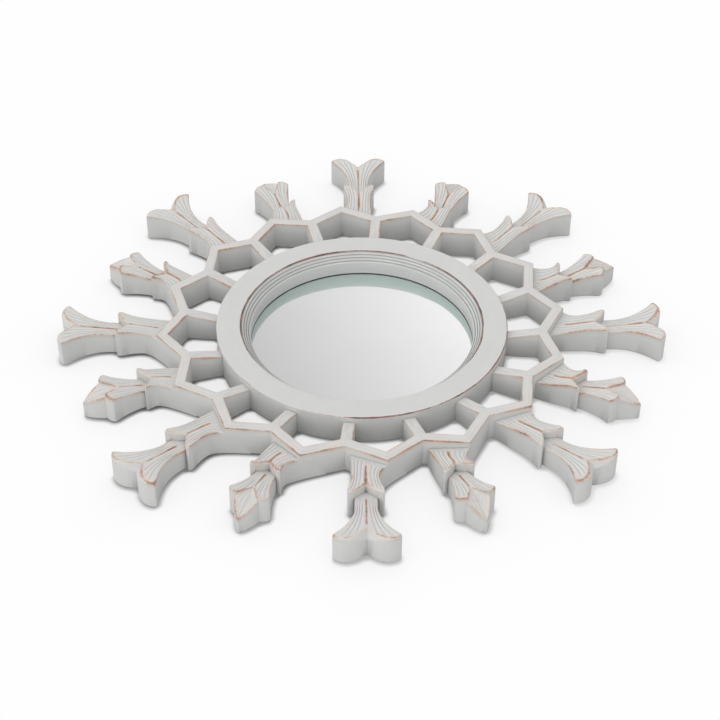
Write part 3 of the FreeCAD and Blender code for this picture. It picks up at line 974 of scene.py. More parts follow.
@dataclass
class Leaf:
    """One carved leaf of a ray: a fluted top, a bevelled shoulder, upright sides and a soft foot."""

    name: str
    top: Patch
    shoulder: Patch
    base: Patch
    foot: Patch
    slope: Slope
    carving: Carving
    rows_along: int
    shoulder_drop: float = 3.0
    straight: Pair = (3.5, 7.0)
    notch_drop: float = 0.0
    notch_half: float = 0.6
    notch_start: float = 0.9
    foot_height: float = 1.4
    crowding: float = 0.035
    edge_start: float = 0.0
    edge_bias: float = 0.0
    end_bias: float = 0.0
    vein_bias: float = -0.45
    rub_reach: float = 0.7
    rub_share: float = 0.3

    def along(self, step: int) -> float:
        """Share of the way at a row of the grid, with closer rows near the rounded end."""
        share = step / self.rows_along
        return share + self.crowding * sin(tau * share) * share

    def surface(self, along: float, across: float) -> Vector:
        """Point on the carved top, in millimetres."""
        point = self.top.at(along, across)
        point.z = self.slope.at(point) - self.carving.cut(along, across)[0]
        return point

    def rim(self) -> list[tuple[int, int]]:
        """Grid places round the leaf, from the left root corner and across the root first."""
        far = self.rows_along
        wide = len(self.carving.rows()) - 1
        root = [(0, row) for row in range(wide)]
        right = [(step, wide) for step in range(far)]
        end = [(far, row) for row in range(wide, 0, -1)]
        left = [(step, 0) for step in range(far, 0, -1)]
        return root + right + end + left

    def rim_places(self) -> Iterator[Pair]:
        """Share along and place across of each grid place of the rim."""
        rows = self.carving.rows()
        for step, row in self.rim():
            yield self.along(step), rows[row]

    def ring(self, patch: Patch, height: float) -> list[Vector]:
        """Points of one level of the side, in the order of the rim.

        Args:
            patch: Plan paths of that level.
            height: Its height.

        Returns:
            The points in millimetres.
        """
        points = [patch.at(along, across) for along, across in self.rim_places()]
        for point in points:
            point.z = height
        return points

    def bevel(self, degrees: float) -> list[Vector]:
        """One level of the shoulder, which is rounded where it is narrow and straight where it is wide.

        Args:
            degrees: How far round it is, from 0 at the top to 90 at the side.

        Returns:
            Points of the level.
        """
        turn = radians(degrees)
        even = degrees / 90.0
        out = sin(turn)
        down = 1.0 - cos(turn)
        points = []
        for along, across in self.rim_places():
            edge = self.surface(along, across)
            side = self.side(along, across)
            straight = smoothstep(*self.straight, (side - edge).to_2d().length)
            point = edge.lerp(side, out + (even - out) * straight)
            point.z = edge.z + (side.z - edge.z) * (down + (even - down) * straight)
            points.append(point)
        return points

    def side(self, along: float, across: float) -> Vector:
        """Point where the shoulder meets the upright side, lower where a notch is gouged into the end.

        Args:
            along: Share of the way from root to end.
            across: Place from the left edge, -1, to the right edge, 1.

        Returns:
            The point in millimetres.
        """
        point = self.shoulder.at(along, across)
        gouge = smoothstep(self.notch_start, 1.0, along) * max(0.0, 1.0 - abs(across) / self.notch_half)
        point.z = self.slope.at(point) - self.shoulder_drop - self.notch_drop * gouge
        return point

    def arris(self, along: float, across: float) -> Vector:
        """Point just over the edge of the top, where the paint is rubbed most."""
        edge, side = self.surface(along, across), self.side(along, across)
        return edge.lerp(side, min(self.rub_share, self.rub_reach / (side - edge).length))

    def build(self) -> Bench:
        """Carve the leaf from a grid: map its top, then draw its sides down ring by ring.

        Returns:
            The closed leaf on the bench.
        """
        across = self.carving.rows()
        wide = len(across) - 1
        far = self.rows_along
        bench = Bench(self.name, bpy.ops.mesh.primitive_grid_add,
                      x_subdivisions=far, y_subdivisions=wide, size=2.0)
        order = {place: index + 1 for index, place in enumerate(self.rim())}
        mesh = bench.mesh()
        mark = mesh.verts.layers.int.new("rim")
        for vert in mesh.verts:
            place = (round((vert.co.x + 1.0) / 2.0 * far), round((vert.co.y + 1.0) / 2.0 * wide))
            vert[mark] = order.get(place, 0)
            vert.co = self.surface(self.along(place[0]), across[place[1]]) * MM
        bench.update()
        levels = [self.bevel(turn) for turn in (30.0, 60.0, 90.0)]
        levels.append(self.ring(self.base, self.foot_height))
        levels.append(self.ring(self.foot, 0.0))
        bench.pick(Pick.EDGE, lambda edge: edge.is_boundary)
        for level in levels:
            mesh = bench.draw_out()
            mark = mesh.verts.layers.int["rim"]
            for vert in mesh.verts:
                if vert.select:
                    vert.co = level[vert[mark] - 1] * MM
            bench.update()
        bpy.ops.mesh.fill(use_beauty=True)
        bench.take_all()
        bpy.ops.mesh.normals_make_consistent(inside=False)
        clear_selection()
        bench.piece.data.attributes.remove(bench.piece.data.attributes["rim"])
        return bench

    def rubbed_lines(self) -> list[RubbedLine]:
        """Lines of the leaf where hands and cloths rub.

        Returns:
            Its two edges, its end and its vein.
        """
        shares = [step / RUB_STEPS for step in range(RUB_STEPS + 1)]
        sides = [share for share in shares if share >= self.edge_start]
        start = self.carving.vein_start + self.carving.vein_fade / 2.0
        veins = [share for share in shares if start <= share <= self.carving.vein_end]
        lines = [RubbedLine(tuple(self.arris(share, side) for share in sides), self.edge_bias)
                 for side in (-1.0, 1.0)]
        lines.append(RubbedLine(tuple(self.arris(1.0, 2.0 * share - 1.0) for share in shares), self.end_bias))
        lines.append(RubbedLine(tuple(self.surface(share, 0.0) for share in veins), self.vein_bias))
        return lines

    def hollows(self) -> Iterator[tuple[Vector, float]]:
        """Every grid point of the top with how hollow it is."""
        for step in range(self.rows_along + 1):
            for across in self.carving.rows():
                along = self.along(step)
                yield self.surface(along, across), self.carving.cut(along, across)[1]


def finder(points: Sequence[Vector]) -> KDTree:
    """Tree that finds the nearest of some points.

    Args:
        points: The points in millimetres.

    Returns:
        The tree, in metres.
    """
    tree = KDTree(len(points))
    for index, point in enumerate(points):
        tree.insert(point * MM, index)
    tree.balance()
    return tree


def wear(piece: Object, lines: Sequence[RubbedLine]) -> list[float]:
    """How far each vertex lies from the rubbed lines.

    Args:
        piece: The piece.
        lines: Its rubbed lines.

    Returns:
        The distances in millimetres.
    """
    nearest = [FAR] * len(piece.data.vertices)
    for line in lines:
        tree = finder(line.points)
        for vert in piece.data.vertices:
            distance = tree.find(vert.co)[2] / MM + line.bias
            nearest[vert.index] = min(nearest[vert.index], distance)
    return nearest


@dataclass(frozen=True)
class Lattice:
    """Plan of the zigzag round the ring: where its valleys and peaks stand."""

    ring_radius: float
    count: int = 16
    spoke_reach: float = 39.8
    zigzag_rise: float = 20.2
    root_margin: float = 4.8

    @property
    def pitch(self) -> float:
        """Angle between neighbouring rays, in degrees."""
        return 360.0 / self.count

    @property
    def spoke_offset(self) -> float:
        """Angle from a ray's axis back to its spoke, in degrees."""
        return self.pitch / 4.0

    @property
    def spoke_angles(self) -> list[float]:
        """Angle of each spoke round the centre, in degrees."""
        return [index * self.pitch - self.spoke_offset for index in range(self.count)]

    @property
    def valley_radius(self) -> float:
        """Radius of the inner corners of the zigzag."""
        return self.ring_radius + self.spoke_reach

    @property
    def peak_radius(self) -> float:
        """Radius of the outer corners of the zigzag."""
        return self.valley_radius + self.zigzag_rise

    def corners(self, lean: float) -> tuple[Vector, Vector, Vector]:
        """Corners of the zigzag, as the axis of a ray that leans sees them.

        Args:
            lean: How far the ray leans, in degrees.

        Returns:
            Left end of the ray's seat, peak and next valley.
        """
        valley = polar(self.valley_radius, -self.spoke_offset - lean)
        peak = polar(self.peak_radius, self.spoke_offset - lean)
        after = polar(self.valley_radius, self.pitch - self.spoke_offset - lean)
        left = valley + (peak - valley).normalized() * self.root_margin
        return left, peak, after


@dataclass(frozen=True)
class InnerLeafPlan:
    """Plan of a ray's inner leaf, from its slanting seat on the arm to its two-lobed end."""

    lattice: Lattice
    lean: float
    tip_offset: float
    tip_half: float
    bulge: float
    lobe_half: float
    notch: float
    waist_knot: float
    waist_offset: float = 15.0
    waist_half: float = 13.0
    root_flow: float = 6.0
    corner_round: float = 4.2
    peak_knot: float = 0.95

    def patch(self, reach: float, inset: Inset) -> Patch:
        """Plan paths of one level.

        Args:
            reach: How far the root runs past the peak along the next arm.
            inset: How far the level is drawn in.

        Returns:
            The four paths.
        """
        left, peak, after = self.lattice.corners(self.lean)
        waist = self.lattice.peak_radius + self.waist_offset
        tip = self.lattice.peak_radius + self.tip_offset
        flare = (waist + tip) / 2.0
        half = self.waist_half - inset.side
        wing = (after - peak).normalized()
        start = peak + wing * reach
        bend = peak + wing * ((half - peak.y) / wing.y)
        corner = flat(tip - inset.corner, self.tip_half - inset.side)
        crown = flat(tip + self.bulge - inset.end, self.lobe_half)
        valley = flat(tip - self.notch - inset.notch)
        lobe = through(valley, crown, corner)
        flank = (flat(waist, half), flat(flare, half), corner)
        left_root = (left, flat(left.x + self.root_flow, -half), flat(waist, -half))
        right_root = (start, flat(bend.x, half), flat(waist, half))
        left_flank = flipped(flank)
        return Patch(
            root=Path(((left, peak), (peak, start)), (self.peak_knot, 1.0)),
            end=Path((flipped(reversed(lobe)), lobe), (0.5, 1.0)),
            left=Path((left_root, left_flank), (self.waist_knot, 1.0)),
            right=Path((right_root, flank), (self.waist_knot, 1.0)),
            round_along=self.corner_round / self.tip_offset,
            round_across=self.corner_round / self.tip_half,
        )


@dataclass
class CarvedRay:
    """A ray of the sunburst: leaves carved from one length of wood, doweled to an arm."""

    lattice: Lattice
    height: float
    lean: float = 0.0
    root_drop: float = 6.0
    top_reach: float = 2.0
    shoulder_reach: float = 8.0
    base_reach: float = 24.0
    inner_bevel: Inset = Inset(2.0, 3.4, 3.4, 0.8)
    inner_carving: Carving = Carving(flutes=(0.3, 0.54, 0.78), rise=(0.04, 0.2))
    dowel_radius: float = 3.1
    dowel_depth: float = 13.3
    dowel_height: float = 12.0
    dowel_first: float = 14.0
    dowel_spacing: float = 12.5
    dowel_count: int = 2
    top_touch: float = 0.3
    outer_root: float = 15.0
    neck: Pair = (44.0, 10.6)
    middle: Pair = (68.5, 14.4)
    tip: Pair = (92.5, 31.0)
    neck_drop: float = 8.1
    tip_drop: float = 1.5
    bevel: Inset = Inset(3.4, 1.5, 8.0, 0.8)

    def leaves(self) -> list[Leaf]:
        """The leaves from root to end."""
        raise NotImplementedError

    def outer_slope(self) -> Slope:
        """Height of the outer leaf, from its neck to its end."""
        peak = self.lattice.peak_radius
        return Slope(peak + self.neck[0], self.height - self.neck_drop,
                     peak + self.tip[0], self.height - self.tip_drop)

    def flared_patch(self, inset: Inset, corner: Vector, end: tuple[tuple[Vector, ...], ...],
                     knots: tuple[float, ...]) -> Patch:
        """Plan paths of one level of the outer leaf, which widens evenly from its neck to its end.

        Args:
            inset: How far the level is drawn in.
            corner: Right corner of its end.
            end: Runs of the right half of its end, from the axis to the corner.
            knots: Share of the half end at which each run stops.

        Returns:
            The four paths.
        """
        peak = self.lattice.peak_radius
        root, neck, middle = peak + self.outer_root, peak + self.neck[0], peak + self.middle[0]
        start, waist = (flat(far, self.neck[1] - inset.side) for far in (root, neck))
        side = ((start, waist), through(waist, flat(middle, self.middle[1] - inset.side), corner))
        left = tuple(flipped(run) for run in side)
        share = (neck - root) / (corner.x - root)
        whole = tuple(flipped(reversed(run)) for run in reversed(end)) + end
        stops = [0.5 - knot / 2.0 for knot in reversed((0.0, *knots[:-1]))]
        stops += [0.5 + knot / 2.0 for knot in knots]
        return Patch(
            root=Path(((left[0][0], start),), (1.0,)),
            end=Path(whole, tuple(stops)),
            left=Path(left, (share, 1.0)),
            right=Path(side, (share, 1.0)),
        )

    def inner_leaf(self, plan: InnerLeafPlan, tip_height: float, rows: int) -> Leaf:
        """The leaf that sits on the arm.

        Args:
            plan: Its plan.
            tip_height: Height of its end.
            rows: Steps along its grid.

        Returns:
            The leaf.
        """
        peak = self.lattice.peak_radius
        slope = Slope(peak, self.height - self.root_drop, peak + plan.tip_offset, tip_height)
        return Leaf("inner_leaf", plan.patch(self.top_reach, self.inner_bevel),
                    plan.patch(self.shoulder_reach, FULL), plan.patch(self.base_reach, FULL),
                    plan.patch(self.base_reach, FOOT), slope, self.inner_carving, rows,
                    edge_start=0.2, edge_bias=0.1)

    def dowel_holes(self) -> Iterator[Object]:
        """Cutters for the dowel holes in the seat.

        Yields:
            One cutter at a time.
        """
        left, peak, _ = self.lattice.corners(self.lean)
        along = (peak - left).normalized()
        angle = atan2(-along.x, along.y)
        for index in range(self.dowel_count):
            mouth = left + along * (self.dowel_first + self.dowel_spacing * index)
            bench = cylinder("dowel_hole", (mouth.x, mouth.y, self.dowel_height), self.dowel_radius,
                             2.0 * self.dowel_depth, turn=(0.0, pi / 2.0, angle))
            clear_selection()
            yield bench.piece

    def build(self, name: str) -> Object:
        """Carve the leaves, join them and drill the seat.

        Args:
            name: Name of the piece.

        Returns:
            The ray with its axis along +X.
        """
        leaves = self.leaves()
        bench = leaves[0].build()
        for leaf in leaves[1:]:
            bench.combine(leaf.build().piece, Join.UNION)
        for cutter in self.dowel_holes():
            bench.combine(cutter, Join.CUT)
        bench.piece.name = name
        piece = bench.finish()
        worn = wear(piece, [line for leaf in leaves for line in leaf.rubbed_lines()])
        write_layers(piece, worn=worn, hollow=self.hollows(piece, leaves), stroke=own_places(piece))
        return piece

    def hollows(self, piece: Object, leaves: Sequence[Leaf]) -> list[float]:
        """Where the flutes and veins are, for the glaze and painted shade in them and the painted highlight
        on their crests.

        Args:
            piece: The joined ray.
            leaves: Its leaves.

        Returns:
            How hollow each vertex is.
        """
        samples = [sample for leaf in leaves for sample in leaf.hollows()]
        tree = finder([point for point, _ in samples])
        values = []
        for vert in piece.data.vertices:
            _, index, distance = tree.find(vert.co)
            values.append(samples[index][1] if distance < self.top_touch * MM else 0.0)
        return values


@dataclass
class ForkRay(CarvedRay):
    """A ray whose outer leaf flares into two rounded lobes."""

    tip_rise: float = 1.0
    bulge: float = 5.4
    lobe_half: float = 17.0
    notch: float = 3.5

    def outer_patch(self, inset: Inset) -> Patch:
        """Plan paths of one level of the outer leaf."""
        tip = self.lattice.peak_radius + self.tip[0]
        corner = flat(tip - inset.corner, self.tip[1] - inset.side)
        crown = flat(tip + self.bulge - inset.end, self.lobe_half)
        valley = flat(tip - self.notch - inset.notch)
        return self.flared_patch(inset, corner, (through(valley, crown, corner),), (1.0,))

    def leaves(self) -> list[Leaf]:
        """Inner leaf and forked outer leaf."""
        plan = InnerLeafPlan(self.lattice, self.lean, tip_offset=40.0, tip_half=18.4, bulge=-1.0,
                             lobe_half=11.0, notch=11.2, waist_knot=0.5)
        inner = self.inner_leaf(plan, self.height + self.tip_rise, 24)
        fan = Carving(flutes=(0.28, 0.52, 0.76), rise=(0.28, 0.5), vein_start=0.34, vein_end=0.93,
                      vein_half=0.09)
        sharp = self.outer_patch(FULL)
        outer = Leaf("outer_leaf", self.outer_patch(self.bevel), sharp, sharp, self.outer_patch(FOOT),
                     self.outer_slope(), fan, rows_along=26, notch_drop=4.5, edge_start=0.3,
                     edge_bias=0.05, end_bias=-0.3)
        return [inner, outer]


@dataclass
class BudRay(CarvedRay):
    """A ray that ends in two square petals with a pointed bud between them."""

    lean: float = -0.8
    outer_root: float = 11.0
    neck: Pair = (30.0, 10.6)
    middle: Pair = (45.5, 14.6)
    tip: Pair = (58.0, 20.3)
    square: Pair = (64.5, 10.5)
    square_bulge: float = 1.2
    notch: float = 49.5
    bevel: Inset = Inset(1.6, 1.1, 2.3, 0.8)
    neck_drop: float = 9.0
    tip_drop: float = 1.7
    bud_root: float = 47.0
    bud_root_drop: float = 4.45
    bud_shoulder: Pair = (63.5, 12.0)
    bud_side: Pair = (74.2, 7.8)
    bud_apex: float = 83.8
    bud_apex_drop: float = 13.2
    bud_cup: float = 0.42
    bud_bevel: float = 1.0
    bud_blunt: float = 0.5

    def petal_patch(self, inset: Inset) -> Patch:
        """Plan paths of one level of the petals."""
        peak = self.lattice.peak_radius
        valley = flat(peak + self.notch - inset.notch)
        square = flat(peak + self.square[0] - inset.end, self.square[1] - inset.side)
        corner = flat(peak + self.tip[0] - inset.corner, self.tip[1] - inset.side)
        crown = (square + corner) * 0.5 + flat(self.square_bulge, self.square_bulge)
        end = ((valley, square), through(square, crown, corner))
        return self.flared_patch(inset, corner, end, (0.55, 1.0))

    def bud_patch(self, inset: float) -> Patch:
        """Plan paths of the bud, drawn in along its flanks and at its apex by its bevel."""
        peak = self.lattice.peak_radius
        root = flat(peak + self.bud_root, self.bud_blunt)
        shoulder = flat(peak + self.bud_shoulder[0] - inset, self.bud_shoulder[1] - inset / 2.0)
        flank = flat(peak + self.bud_side[0] - inset, self.bud_side[1] - inset)
        apex = flat(peak + self.bud_apex - inset, self.bud_blunt)
        side = ((root, shoulder), through(shoulder, flank, apex))
        left = tuple(flipped(run) for run in side)
        return Patch(
            root=Path(((left[0][0], root),), (1.0,)),
            end=Path(((left[1][2], apex),), (1.0,)),
            left=Path(left, (0.5, 1.0)),
            right=Path(side, (0.5, 1.0)),
        )

    def leaves(self) -> list[Leaf]:
        """Inner leaf, petals and bud."""
        peak = self.lattice.peak_radius
        plan = InnerLeafPlan(self.lattice, self.lean, tip_offset=25.0, tip_half=17.3, bulge=-0.9,
                             lobe_half=10.4, notch=9.2, waist_knot=0.7)
        inner = self.inner_leaf(plan, self.height, 20)
        fan = Carving(flutes=(0.42, 0.62, 0.82), flute_half=0.06, rise=(0.36, 0.6), vein_start=0.36)
        sharp = self.petal_patch(FULL)
        petals = Leaf("petals", self.petal_patch(self.bevel), sharp, sharp, self.petal_patch(FOOT),
                      self.outer_slope(), fan, rows_along=24, edge_start=0.3, edge_bias=0.15, end_bias=-0.4)
        fall = Slope(peak + self.bud_root, self.height - self.bud_root_drop,
                     peak + self.bud_apex, self.height - self.bud_apex_drop, self.bud_cup)
        gouges = Carving(flutes=(0.36, 0.68), flute_half=0.07, flute_depth=0.25, reed_dip=0.15,
                         rise=(0.2, 0.45), vein_start=0.3, vein_half=0.08, vein_depth=0.3,
                         end_fade=0.55, end_share=0.1, glaze_and_shade=0.4)
        blunt = self.bud_patch(0.0)
        bud = Leaf("bud", self.bud_patch(self.bud_bevel), blunt, blunt, self.bud_patch(FOOT.end),
                   fall, gouges, rows_along=22, edge_start=0.5, edge_bias=0.15, vein_bias=1.6)
        return [inner, petals, bud]


@dataclass
class Branch:
    """One Y of the lattice: a spoke that rises from the ring, and two arms mitred to their neighbours."""

    lattice: Lattice
    height: float
    spoke_drop: float = 6.5
    spoke_width: float = 11.5
    arm_width: float = 10.0
    glue_line: float = 0.1
    arris: float = 0.9
    rub_drop: float = 0.6
    foot_bevel: float = 1.6
    sharp_angle: float = 1.0
    steepest: float = 1.2
    top_from: float = 5.0
    broad_area: float = 60.0

    def plan(self) -> dict[str, Vector]:
        """Lay out the right half, with the spoke along +X.

        Returns:
            Its named plan points.
        """
        half_pitch = self.lattice.pitch / 2.0
        half = self.spoke_width / 2.0
        valley = flat(self.lattice.valley_radius)
        peak = polar(self.lattice.peak_radius, half_pitch)
        along = (peak - valley).normalized()
        inner = valley + flat(-along.y, along.x) * self.arm_width
        crotch = inner + along * ((half - inner.y) / along.y)
        mitre = polar(1.0, half_pitch)
        across = inner.x * mitre.y - inner.y * mitre.x
        inner_peak = inner + along * (across / (along.y * mitre.x - along.x * mitre.y))
        foot = flat(sqrt((self.lattice.ring_radius + self.glue_line) ** 2 - half ** 2), half)
        return {"foot": foot, "crotch": crotch, "inner_peak": inner_peak, "peak": peak, "valley": valley}

    def build(self, name: str) -> Object:
        """Draw the plan out of one plane, raise it, slope the spoke and ease the arrises.

        Args:
            name: Name of the piece.

        Returns:
            The branch with its spoke along +X.
        """
        plan = self.plan()
        foot, crotch = plan["foot"], plan["crotch"]
        bench = Bench(name, bpy.ops.mesh.primitive_plane_add, size=2.0)
        mesh = bench.mesh()
        for vert in mesh.verts:
            corner = crotch if vert.co.x > 0.0 else foot
            vert.co = flat(corner.x, copysign(corner.y, vert.co.y)) * MM
        bench.update()
        left = Vector((1.0, -1.0, 1.0))
        valley = plan["valley"]
        bench.draw_edge((crotch, crotch * left), (valley, valley))
        bench.take_all()
        bpy.ops.mesh.remove_doubles(threshold=NEAR * MM)
        bench.draw_edge((crotch, valley), (plan["inner_peak"], plan["peak"]))
        bench.draw_edge((crotch * left, valley), (plan["inner_peak"] * left, plan["peak"] * left))
        bench.take_all()
        bench.extrude(self.height)
        bench.pick(Pick.VERT, lambda vert: vert.co.z > MM and vert.co.x < (foot.x + 1.0) * MM)
        bench.shift(Vector((0.0, 0.0, -self.spoke_drop)))
        bench.heal()
        self.ease(bench)
        piece = bench.finish()
        write_layers(piece, worn=wear(piece, self.rubbed_lines()),
                     hollow=[0.0] * len(piece.data.vertices), stroke=self.strokes(piece))
        return piece

    def strokes(self, piece: Object) -> list[Vector]:
        """Where each face corner lies along and across its own arm or the spoke.

        Args:
            piece: The branch.

        Returns:
            The places in the order of the corners.
        """
        plan = self.plan()
        crotch, valley, peak = (plan[name] * MM for name in ("crotch", "valley", "peak"))
        mitre = valley - crotch
        along = (peak - valley).normalized()
        places = [Vector()] * len(piece.data.loops)
        for face in piece.data.polygons:
            side = copysign(1.0, face.center.y)
            offset = flat(face.center.x, abs(face.center.y)) - crotch
            in_arm = (mitre.cross(offset)).z * (mitre.cross(peak - crotch)).z > 0.0
            for loop in face.loop_indices:
                point = piece.data.vertices[piece.data.loops[loop].vertex_index].co
                if in_arm:
                    run = flat(point.x, point.y * side) - valley
                    places[loop] = Vector((run.dot(along) * side, along.cross(run).z, point.z))
                else:
                    places[loop] = point.copy()
        return places

    def ease(self, bench: Bench) -> None:
        """Round the long top arrises, soften the foot and divide the top.

        Args:
            bench: The raised branch on the bench.
        """
        mitre = tan(radians(self.lattice.pitch / 2.0))
        start = (self.plan()["foot"].x + NEAR) * MM

        def on_mitre(point: Vector) -> bool:
            """Whether a point lies in a mitre."""
            return abs(abs(point.y) - point.x * mitre) < 2.0 * NEAR * MM

        def is_long(edge: BMEdge) -> bool:
            """Whether an edge runs along the outside of the plan, level or nearly so."""
            low, high = (vert.co for vert in edge.verts)
            if edge.calc_face_angle(0.0) < self.sharp_angle or (on_mitre(low) and on_mitre(high)):
                return False
            if max(low.x, high.x) < start:
                return False
            return (high - low).length > self.steepest * abs(high.z - low.z)

        top, broad = self.top_from * MM, self.broad_area * MM * MM
        bench.pick(Pick.EDGE, lambda edge: is_long(edge) and min(v.co.z for v in edge.verts) > top)
        bench.bevel(self.arris, 3)
        bench.pick(Pick.EDGE, lambda edge: is_long(edge) and max(v.co.z for v in edge.verts) < MM)
        bench.bevel(self.foot_bevel, 2)
        bench.pick(Pick.FACE, lambda face: face.normal.z > 0.9 and face.calc_area() > broad)
        bpy.ops.mesh.subdivide(number_cuts=3)

    def rubbed_lines(self) -> list[RubbedLine]:
        """Top arrises of the spoke and arms.

        Returns:
            The lines on both sides.
        """
        plan = self.plan()
        runs = (("foot", "crotch", 0.3), ("crotch", "inner_peak", 0.1), ("valley", "peak", 0.0))
        lines = []
        for start, end, bias in runs:
            for side in (1.0, -1.0):
                flip = Vector((1.0, side, 1.0))
                low, high = plan[start] * flip, plan[end] * flip
                low.z = self.height - self.rub_drop - (self.spoke_drop if start == "foot" else 0.0)
                high.z = self.height - self.rub_drop
                points = tuple(low.lerp(high, step / 60.0) for step in range(61))
                lines.append(RubbedLine(points, bias))
        return lines


@dataclass
class CentreRing:
    """Turned ring with a flat face, a stepped inner moulding, a deep well and a rabbet behind it."""

    lattice: Lattice
    height: float
    glass_top: float
    face_width: float = 24.8
    arris: float = 0.8
    arris_steps: int = 4
    inner_arris: float = 0.35
    inner_ease: float = 0.1
    side_rows: Pair = (6.0, 2.5)
    face_rows: Pair = (3.0, 12.0)
    well_row: float = 6.0
    moulding_width: float = 9.0
    moulding_drop: float = 9.2
    moulding_riser: float = 1.2
    moulding_steps: int = 4
    groove: tuple[Pair, ...] = ((0.0, 0.1), (0.15, 0.55), (0.55, 0.55), (0.95, 0.05))
    groove_width: float = 0.7
    groove_slack: float = 0.05
    tread_margin: float = 0.3
    # Painted shade on the moulding's treads.
    tread_shade: float = 0.35
    rabbet_width: float = 3.3
    foot_bevel: float = 1.4
    foot_ease: float = 0.4
    dowel_radius: float = 3.1
    dowel_depth: float = 10.3
    dowel_height: float = 12.0
    pocket_radius: float = 21.0
    pocket_roof: float = 3.4
    pocket_outer: float = 134.5
    pivot_hole: float = 1.8
    pivot_depth: float = 15.4
    recess_centre: float = 131.25
    recess_run: float = 12.0
    recess_half: float = 10.2
    recess_top: float = 2.2
    keyhole_start: float = 128.5
    keyhole_run: float = 8.5
    keyhole_half: float = 5.5
    keyhole_top: float = 10.2
    cut_below: float = -1.0
    near_side: Pair = (112.0, 140.0)
    near_weaker: float = 1.9
    gap: Pair = (62.0, 5.0)
    gap_weaker: float = 1.5
    rub_inset: float = 0.3
    rub_heading: float = -60.0
    rub_weaker: float = 1.25
    rub_gain: float = 0.9
    stretch: Pair = (217.0, 14.0)
    stretch_share: float = 0.8

    @property
    def outer_radius(self) -> float:
        """Radius of the ring's outside."""
        return self.lattice.ring_radius

    @property
    def face_radius(self) -> float:
        """Inner radius of the flat face."""
        return self.outer_radius - self.face_width

    @property
    def sight_radius(self) -> float:
        """Radius of the well."""
        return self.face_radius - self.moulding_width

    @property
    def tread(self) -> float:
        """Width of one step of the moulding."""
        return self.moulding_width / self.moulding_steps

    @property
    def fall(self) -> float:
        """Height of one step of the moulding."""
        return self.moulding_drop / self.moulding_steps

    def profile(self) -> list[Pair]:
        """Half section of the ring, anticlockwise from the rabbet's back edge.

        Returns:
            Radius and height of each corner.
        """
        outer, inner, height = self.outer_radius, self.face_radius, self.height
        rabbet = self.sight_radius + self.rabbet_width
        points = [(rabbet, 0.0), (outer - self.foot_bevel, 0.0)]
        points += [(outer - self.foot_ease, self.foot_ease), (outer, self.foot_bevel)]
        points += [(outer, height - row) for row in self.side_rows]
        for step in range(self.arris_steps + 1):
            angle = radians(90.0 * step / self.arris_steps)
            across = self.arris * (1.0 - cos(angle))
            points.append((outer - across, height - self.arris * (1.0 - sin(angle))))
        points += [(outer - row, height) for row in self.face_rows]
        points += [(inner + self.face_rows[0], height), (inner + self.inner_arris, height)]
        points += [(inner + self.inner_ease, height - self.inner_ease), (inner, height - self.inner_arris)]
        tread = self.tread
        drop = self.fall - self.moulding_riser
        for step in range(self.moulding_steps):
            radius = inner - step * tread
            level = height - step * self.fall - self.moulding_riser
            points += [(radius - across, level - down) for across, down in self.groove]
            after = radius - tread
            points += [(radius - 0.5 * tread, level - 0.25 * drop), (after + 0.5, level - 0.7 * drop)]
            points += [(after + 0.1, level - drop - 0.05), (after, level - drop - 0.3)]
        points += [(self.sight_radius, self.glass_top + self.well_row), (self.sight_radius, self.glass_top)]
        points += [(rabbet, self.glass_top)]
        return points

    def quirk(self, radius: float, height: float) -> float:
        """How much glaze and painted shade a place in the section takes.

        Args:
            radius: Its radius.
            height: Its height.

        Returns:
            1 in the moulding's fine grooves, less on its treads, where painted shade stands for the well's
            shadow, and 0 elsewhere.
        """
        slack, wide = self.groove_slack, self.groove_width
        for step in range(self.moulding_steps):
            across = self.face_radius - step * self.tread - radius
            deep = self.height - step * self.fall - self.moulding_riser - height
            if -slack < across < wide and slack < deep < wide:
                return 1.0
            # The treads take a painted shade for the well's shadow.
            if wide < across < self.tread - self.tread_margin and deep < self.fall:
                return self.tread_shade
        return 0.0

    def build(self, name: str) -> Object:
        """Spin the section and cut the pockets, recess and holes.

        Args:
            name: Name of the piece.

        Returns:
            The ring.
        """
        profile = self.profile()
        bench = Bench(name, bpy.ops.mesh.primitive_circle_add, vertices=len(profile), radius=1.0)
        mesh = bench.mesh()
        ordered = sorted(mesh.verts, key=lambda vert: atan2(vert.co.y, vert.co.x))
        for vert, (radius, level) in zip(ordered, profile):
            vert.co = Vector((radius, 0.0, level)) * MM
        bench.update()
        bench.take_all()
        bpy.ops.mesh.spin(steps=FINE_TURN, angle=tau, center=(0.0, 0.0, 0.0), axis=(0.0, 0.0, 1.0))
        bench.heal()
        for cutter in self.cutters():
            bench.combine(cutter, Join.CUT)
        piece = bench.finish()
        rounds = [(hypot(p.x, p.y), atan2(p.y, p.x), p.z) for p in own_places(piece)]
        write_layers(piece, worn=[self.wear(across / MM, angle, up / MM) for across, angle, up in rounds],
                     hollow=[self.quirk(across / MM, up / MM) for across, _, up in rounds],
                     stroke=[Vector((abs(angle) * self.face_radius * MM, across, up))
                             for across, angle, up in rounds])
        return piece

